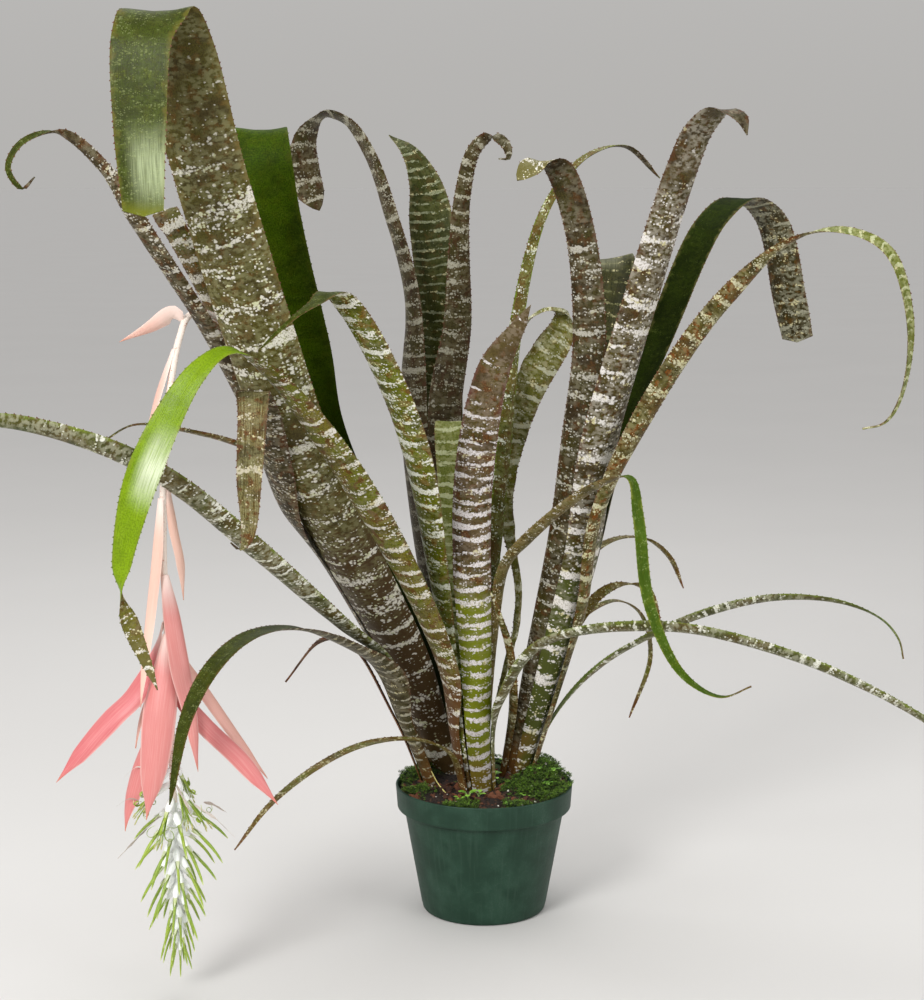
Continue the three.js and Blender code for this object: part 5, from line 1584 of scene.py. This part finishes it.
def add_litter():
    """Bark chips, crumbs, a few white grains and fallen straw on the soil."""
    rng = random.Random(LITTER_SEED)
    base, faces = rock()
    bark, crumbs = Bag(), Bag()
    for n in range(LITTER_TRIES):
        x, y = open_soil(rng, LITTER_REACH)
        chip = n % 3 == 0
        if chip and moss_cover(x, y) > 0.45:
            continue
        size = rng.uniform(1.8, 4.2) if chip else rng.uniform(0.6, 1.5)
        stretch = [rng.uniform(1.0, 1.9), rng.uniform(0.6, 1.0), rng.uniform(0.3, 0.6) if chip else 0.8]
        points = base * (1 + np.array([[rng.uniform(-0.18, 0.18)] for _ in base]))
        points = turned(points * stretch * size, rng) + [x, y, ground(x, y) + size * 0.2]
        tone = [(0.0, rng.random())] * len(base)
        pale = not chip and rng.random() > 0.93
        (bark if chip else crumbs).add(points, faces, 1 if pale else 0, tone=tone)
    path = Curve(STRAW).path(2.0)
    crumbs.sweep(tube_rings(path, np.linspace(0.35, 0.6, len(path)), 6), 2, 0.9)
    bark_finish = toned("bark", (34, 18, 12), (112, 66, 40), 0.85, 1.4, 0.6)
    bark.finish("bark_chips", None, "soil", [bark_finish], sharp=25.0)
    crumbs.finish("soil_crumbs", None, "soil", [
        toned("peat_crumb", (24, 18, 14), (84, 60, 42), 0.9),
        toned("pale_grain", (190, 184, 168), (226, 222, 210)),
        toned("straw", (170, 160, 84), (210, 200, 120), 0.6),
    ], sharp=25.0)


def add_moss():
    """Moss shoots: small stars of pointed leaves, close together on the moss beds."""
    rng = random.Random(MOSS_SEED)
    bag = Bag()
    for _ in range(MOSS_TRIES):
        x, y = open_soil(rng, MOSS_REACH)
        cover = moss_cover(x, y)
        if cover < 0.3 + 0.25 * rng.random():
            continue
        height = rng.uniform(0.9, 3.2) * (0.6 + cover)
        over_rim = math.hypot(x, y) > MOSS_OVER_RIM
        foot = np.array([x, y, (POT_HEIGHT if over_rim else ground(x, y)) - 0.3])
        lean = np.array([rng.uniform(-0.3, 0.3), rng.uniform(-0.3, 0.3), 1.0])
        crown = foot + lean * height
        tone = rng.random()
        start = rng.uniform(0, 6.3)
        for k in range(MOSS_STAR):
            a = start + TURN * k / MOSS_STAR
            out = np.array(polar(1.0, a, rng.uniform(0.3, 1.1)))
            side = np.array([-math.sin(a), math.cos(a), 0.0]) * 0.32
            length = rng.uniform(1.1, 2.0)
            root = crown - lean * rng.uniform(0.0, 0.8)
            middle = root + out * length * 0.45
            corners = [root, middle + side, root + out * length, middle - side]
            bag.add(corners, [(0, 1, 2, 3)], tone=[(share, tone) for share in (0.0, 0.4, 1.0, 0.4)])
    finish = toned("moss_green", (20, 36, 6), (92, 126, 26), 0.75, 2.0, 0.1)
    bag.finish("moss_shoots", None, "soil", [finish], sharp=180.0)


def add_seedlings():
    """Seedlings: round leaves on thin stems that spread from one root."""
    rng = random.Random(SEEDLING_SEED)
    bag = Bag()
    s = np.linspace(0, 1, 6)
    t = np.linspace(0, 1, 9)
    for x, y, count, length, height in SEEDLINGS:
        root = np.array([x, y, ground(x, y) - 0.5])
        widths = length * 0.72 * np.sin(np.clip(t * 0.92 + 0.08, 0, 1) * math.pi) ** 0.6
        for k in range(count):
            out = np.array(polar(1.0, TURN * k / count + rng.uniform(-0.4, 0.4)))
            rise = height * rng.uniform(0.55, 1.1)
            reach = length * rng.uniform(0.5, 1.0)
            stem = root + np.outer(s * rise, UP) + np.outer(s * s * reach * 0.6, out)
            bag.sweep(tube_rings(stem, 0.3, 5), 0, 0.6)
            path = stem[-1] + np.outer(t * length * 0.9, out) + np.outer(0.9 * np.sin(t * 2.6), UP)
            bag.sweep(ribbon_rings(path, np.cross(UP, out), widths, 0.35), 1, rng.random())
    bag.finish("seedlings", None, "soil", [
        toned("seedling_stem", (110, 150, 70), (170, 200, 110), 0.5),
        toned("seedling_leaf", (92, 150, 40), (150, 204, 70), 0.45, 1.0, 0.2),
    ])


def add_floor():
    """A floor that reaches past the horizon, just below the pot's foot."""
    mesh = bpy.data.meshes.new("floor")
    signs = [(-1, -1), (1, -1), (1, 1), (-1, 1)]
    corners = [(x * FLOOR_REACH, y * FLOOR_REACH, -FLOOR_DROP) for x, y in signs]
    mesh.from_pydata(corners, [], [(0, 1, 2, 3)])
    mesh.materials.append(floor_finish())
    placed("floor", mesh)


def add_light(name, place, size, power):
    """A round soft light that faces the plant."""
    data = bpy.data.lights.new(name, "AREA")
    data.shape = "DISK"
    data.size = size
    data.energy = power
    light = placed(name, data)
    light.location = place
    light.rotation_euler = (Vector(LIGHT_TARGET) - Vector(place)).to_track_quat("-Z", "Y").to_euler()


def add_camera():
    """The photo's camera, as its place and lens were worked out from the pot's rim."""
    data = bpy.data.cameras.new("camera")
    data.sensor_width = SENSOR
    data.lens = CAMERA_FOCAL_PIXELS * SENSOR / PHOTO_HEIGHT_PIXELS
    data.clip_end = FAR
    camera = placed("camera", data)
    camera.location = CAMERA_PLACE
    camera.rotation_euler = (math.radians(90 - CAMERA_PITCH), 0, 0)
    bpy.context.scene.camera = camera


def add_world():
    """Soft light from all round, which meets the far floor in one tone at the horizon."""
    world = bpy.data.worlds.new("studio")
    world.use_nodes = True
    tree = world.node_tree
    background = tree.nodes["Background"]
    direction, parts, rise, tone = (
        tree.nodes.new("ShaderNode" + kind) for kind in ("TexCoord", "SeparateXYZ", "MapRange", "Mix")
    )
    rise.interpolation_type = "SMOOTHSTEP"
    rise.inputs["From Max"].default_value = HORIZON_RISE
    tone.data_type = "RGBA"
    tone.inputs[6].default_value = FAR_FLOOR
    tone.inputs[7].default_value = SKY
    tree.links.new(direction.outputs["Generated"], parts.inputs[0])
    tree.links.new(parts.outputs[2], rise.inputs["Value"])
    tree.links.new(rise.outputs[0], tone.inputs[0])
    tree.links.new(tone.outputs[2], background.inputs["Color"])
    bpy.context.scene.world = world


add_camera()
add_world()
for light_name, settings in LIGHTS.items():
    add_light(light_name, *settings)
bpy.context.scene.view_settings.view_transform = "Standard"
add_floor()
add_pot()
add_soil()
add_litter()
add_moss()
add_seedlings()
add_leaves()
add_scape()
add_bracts()
add_spike()
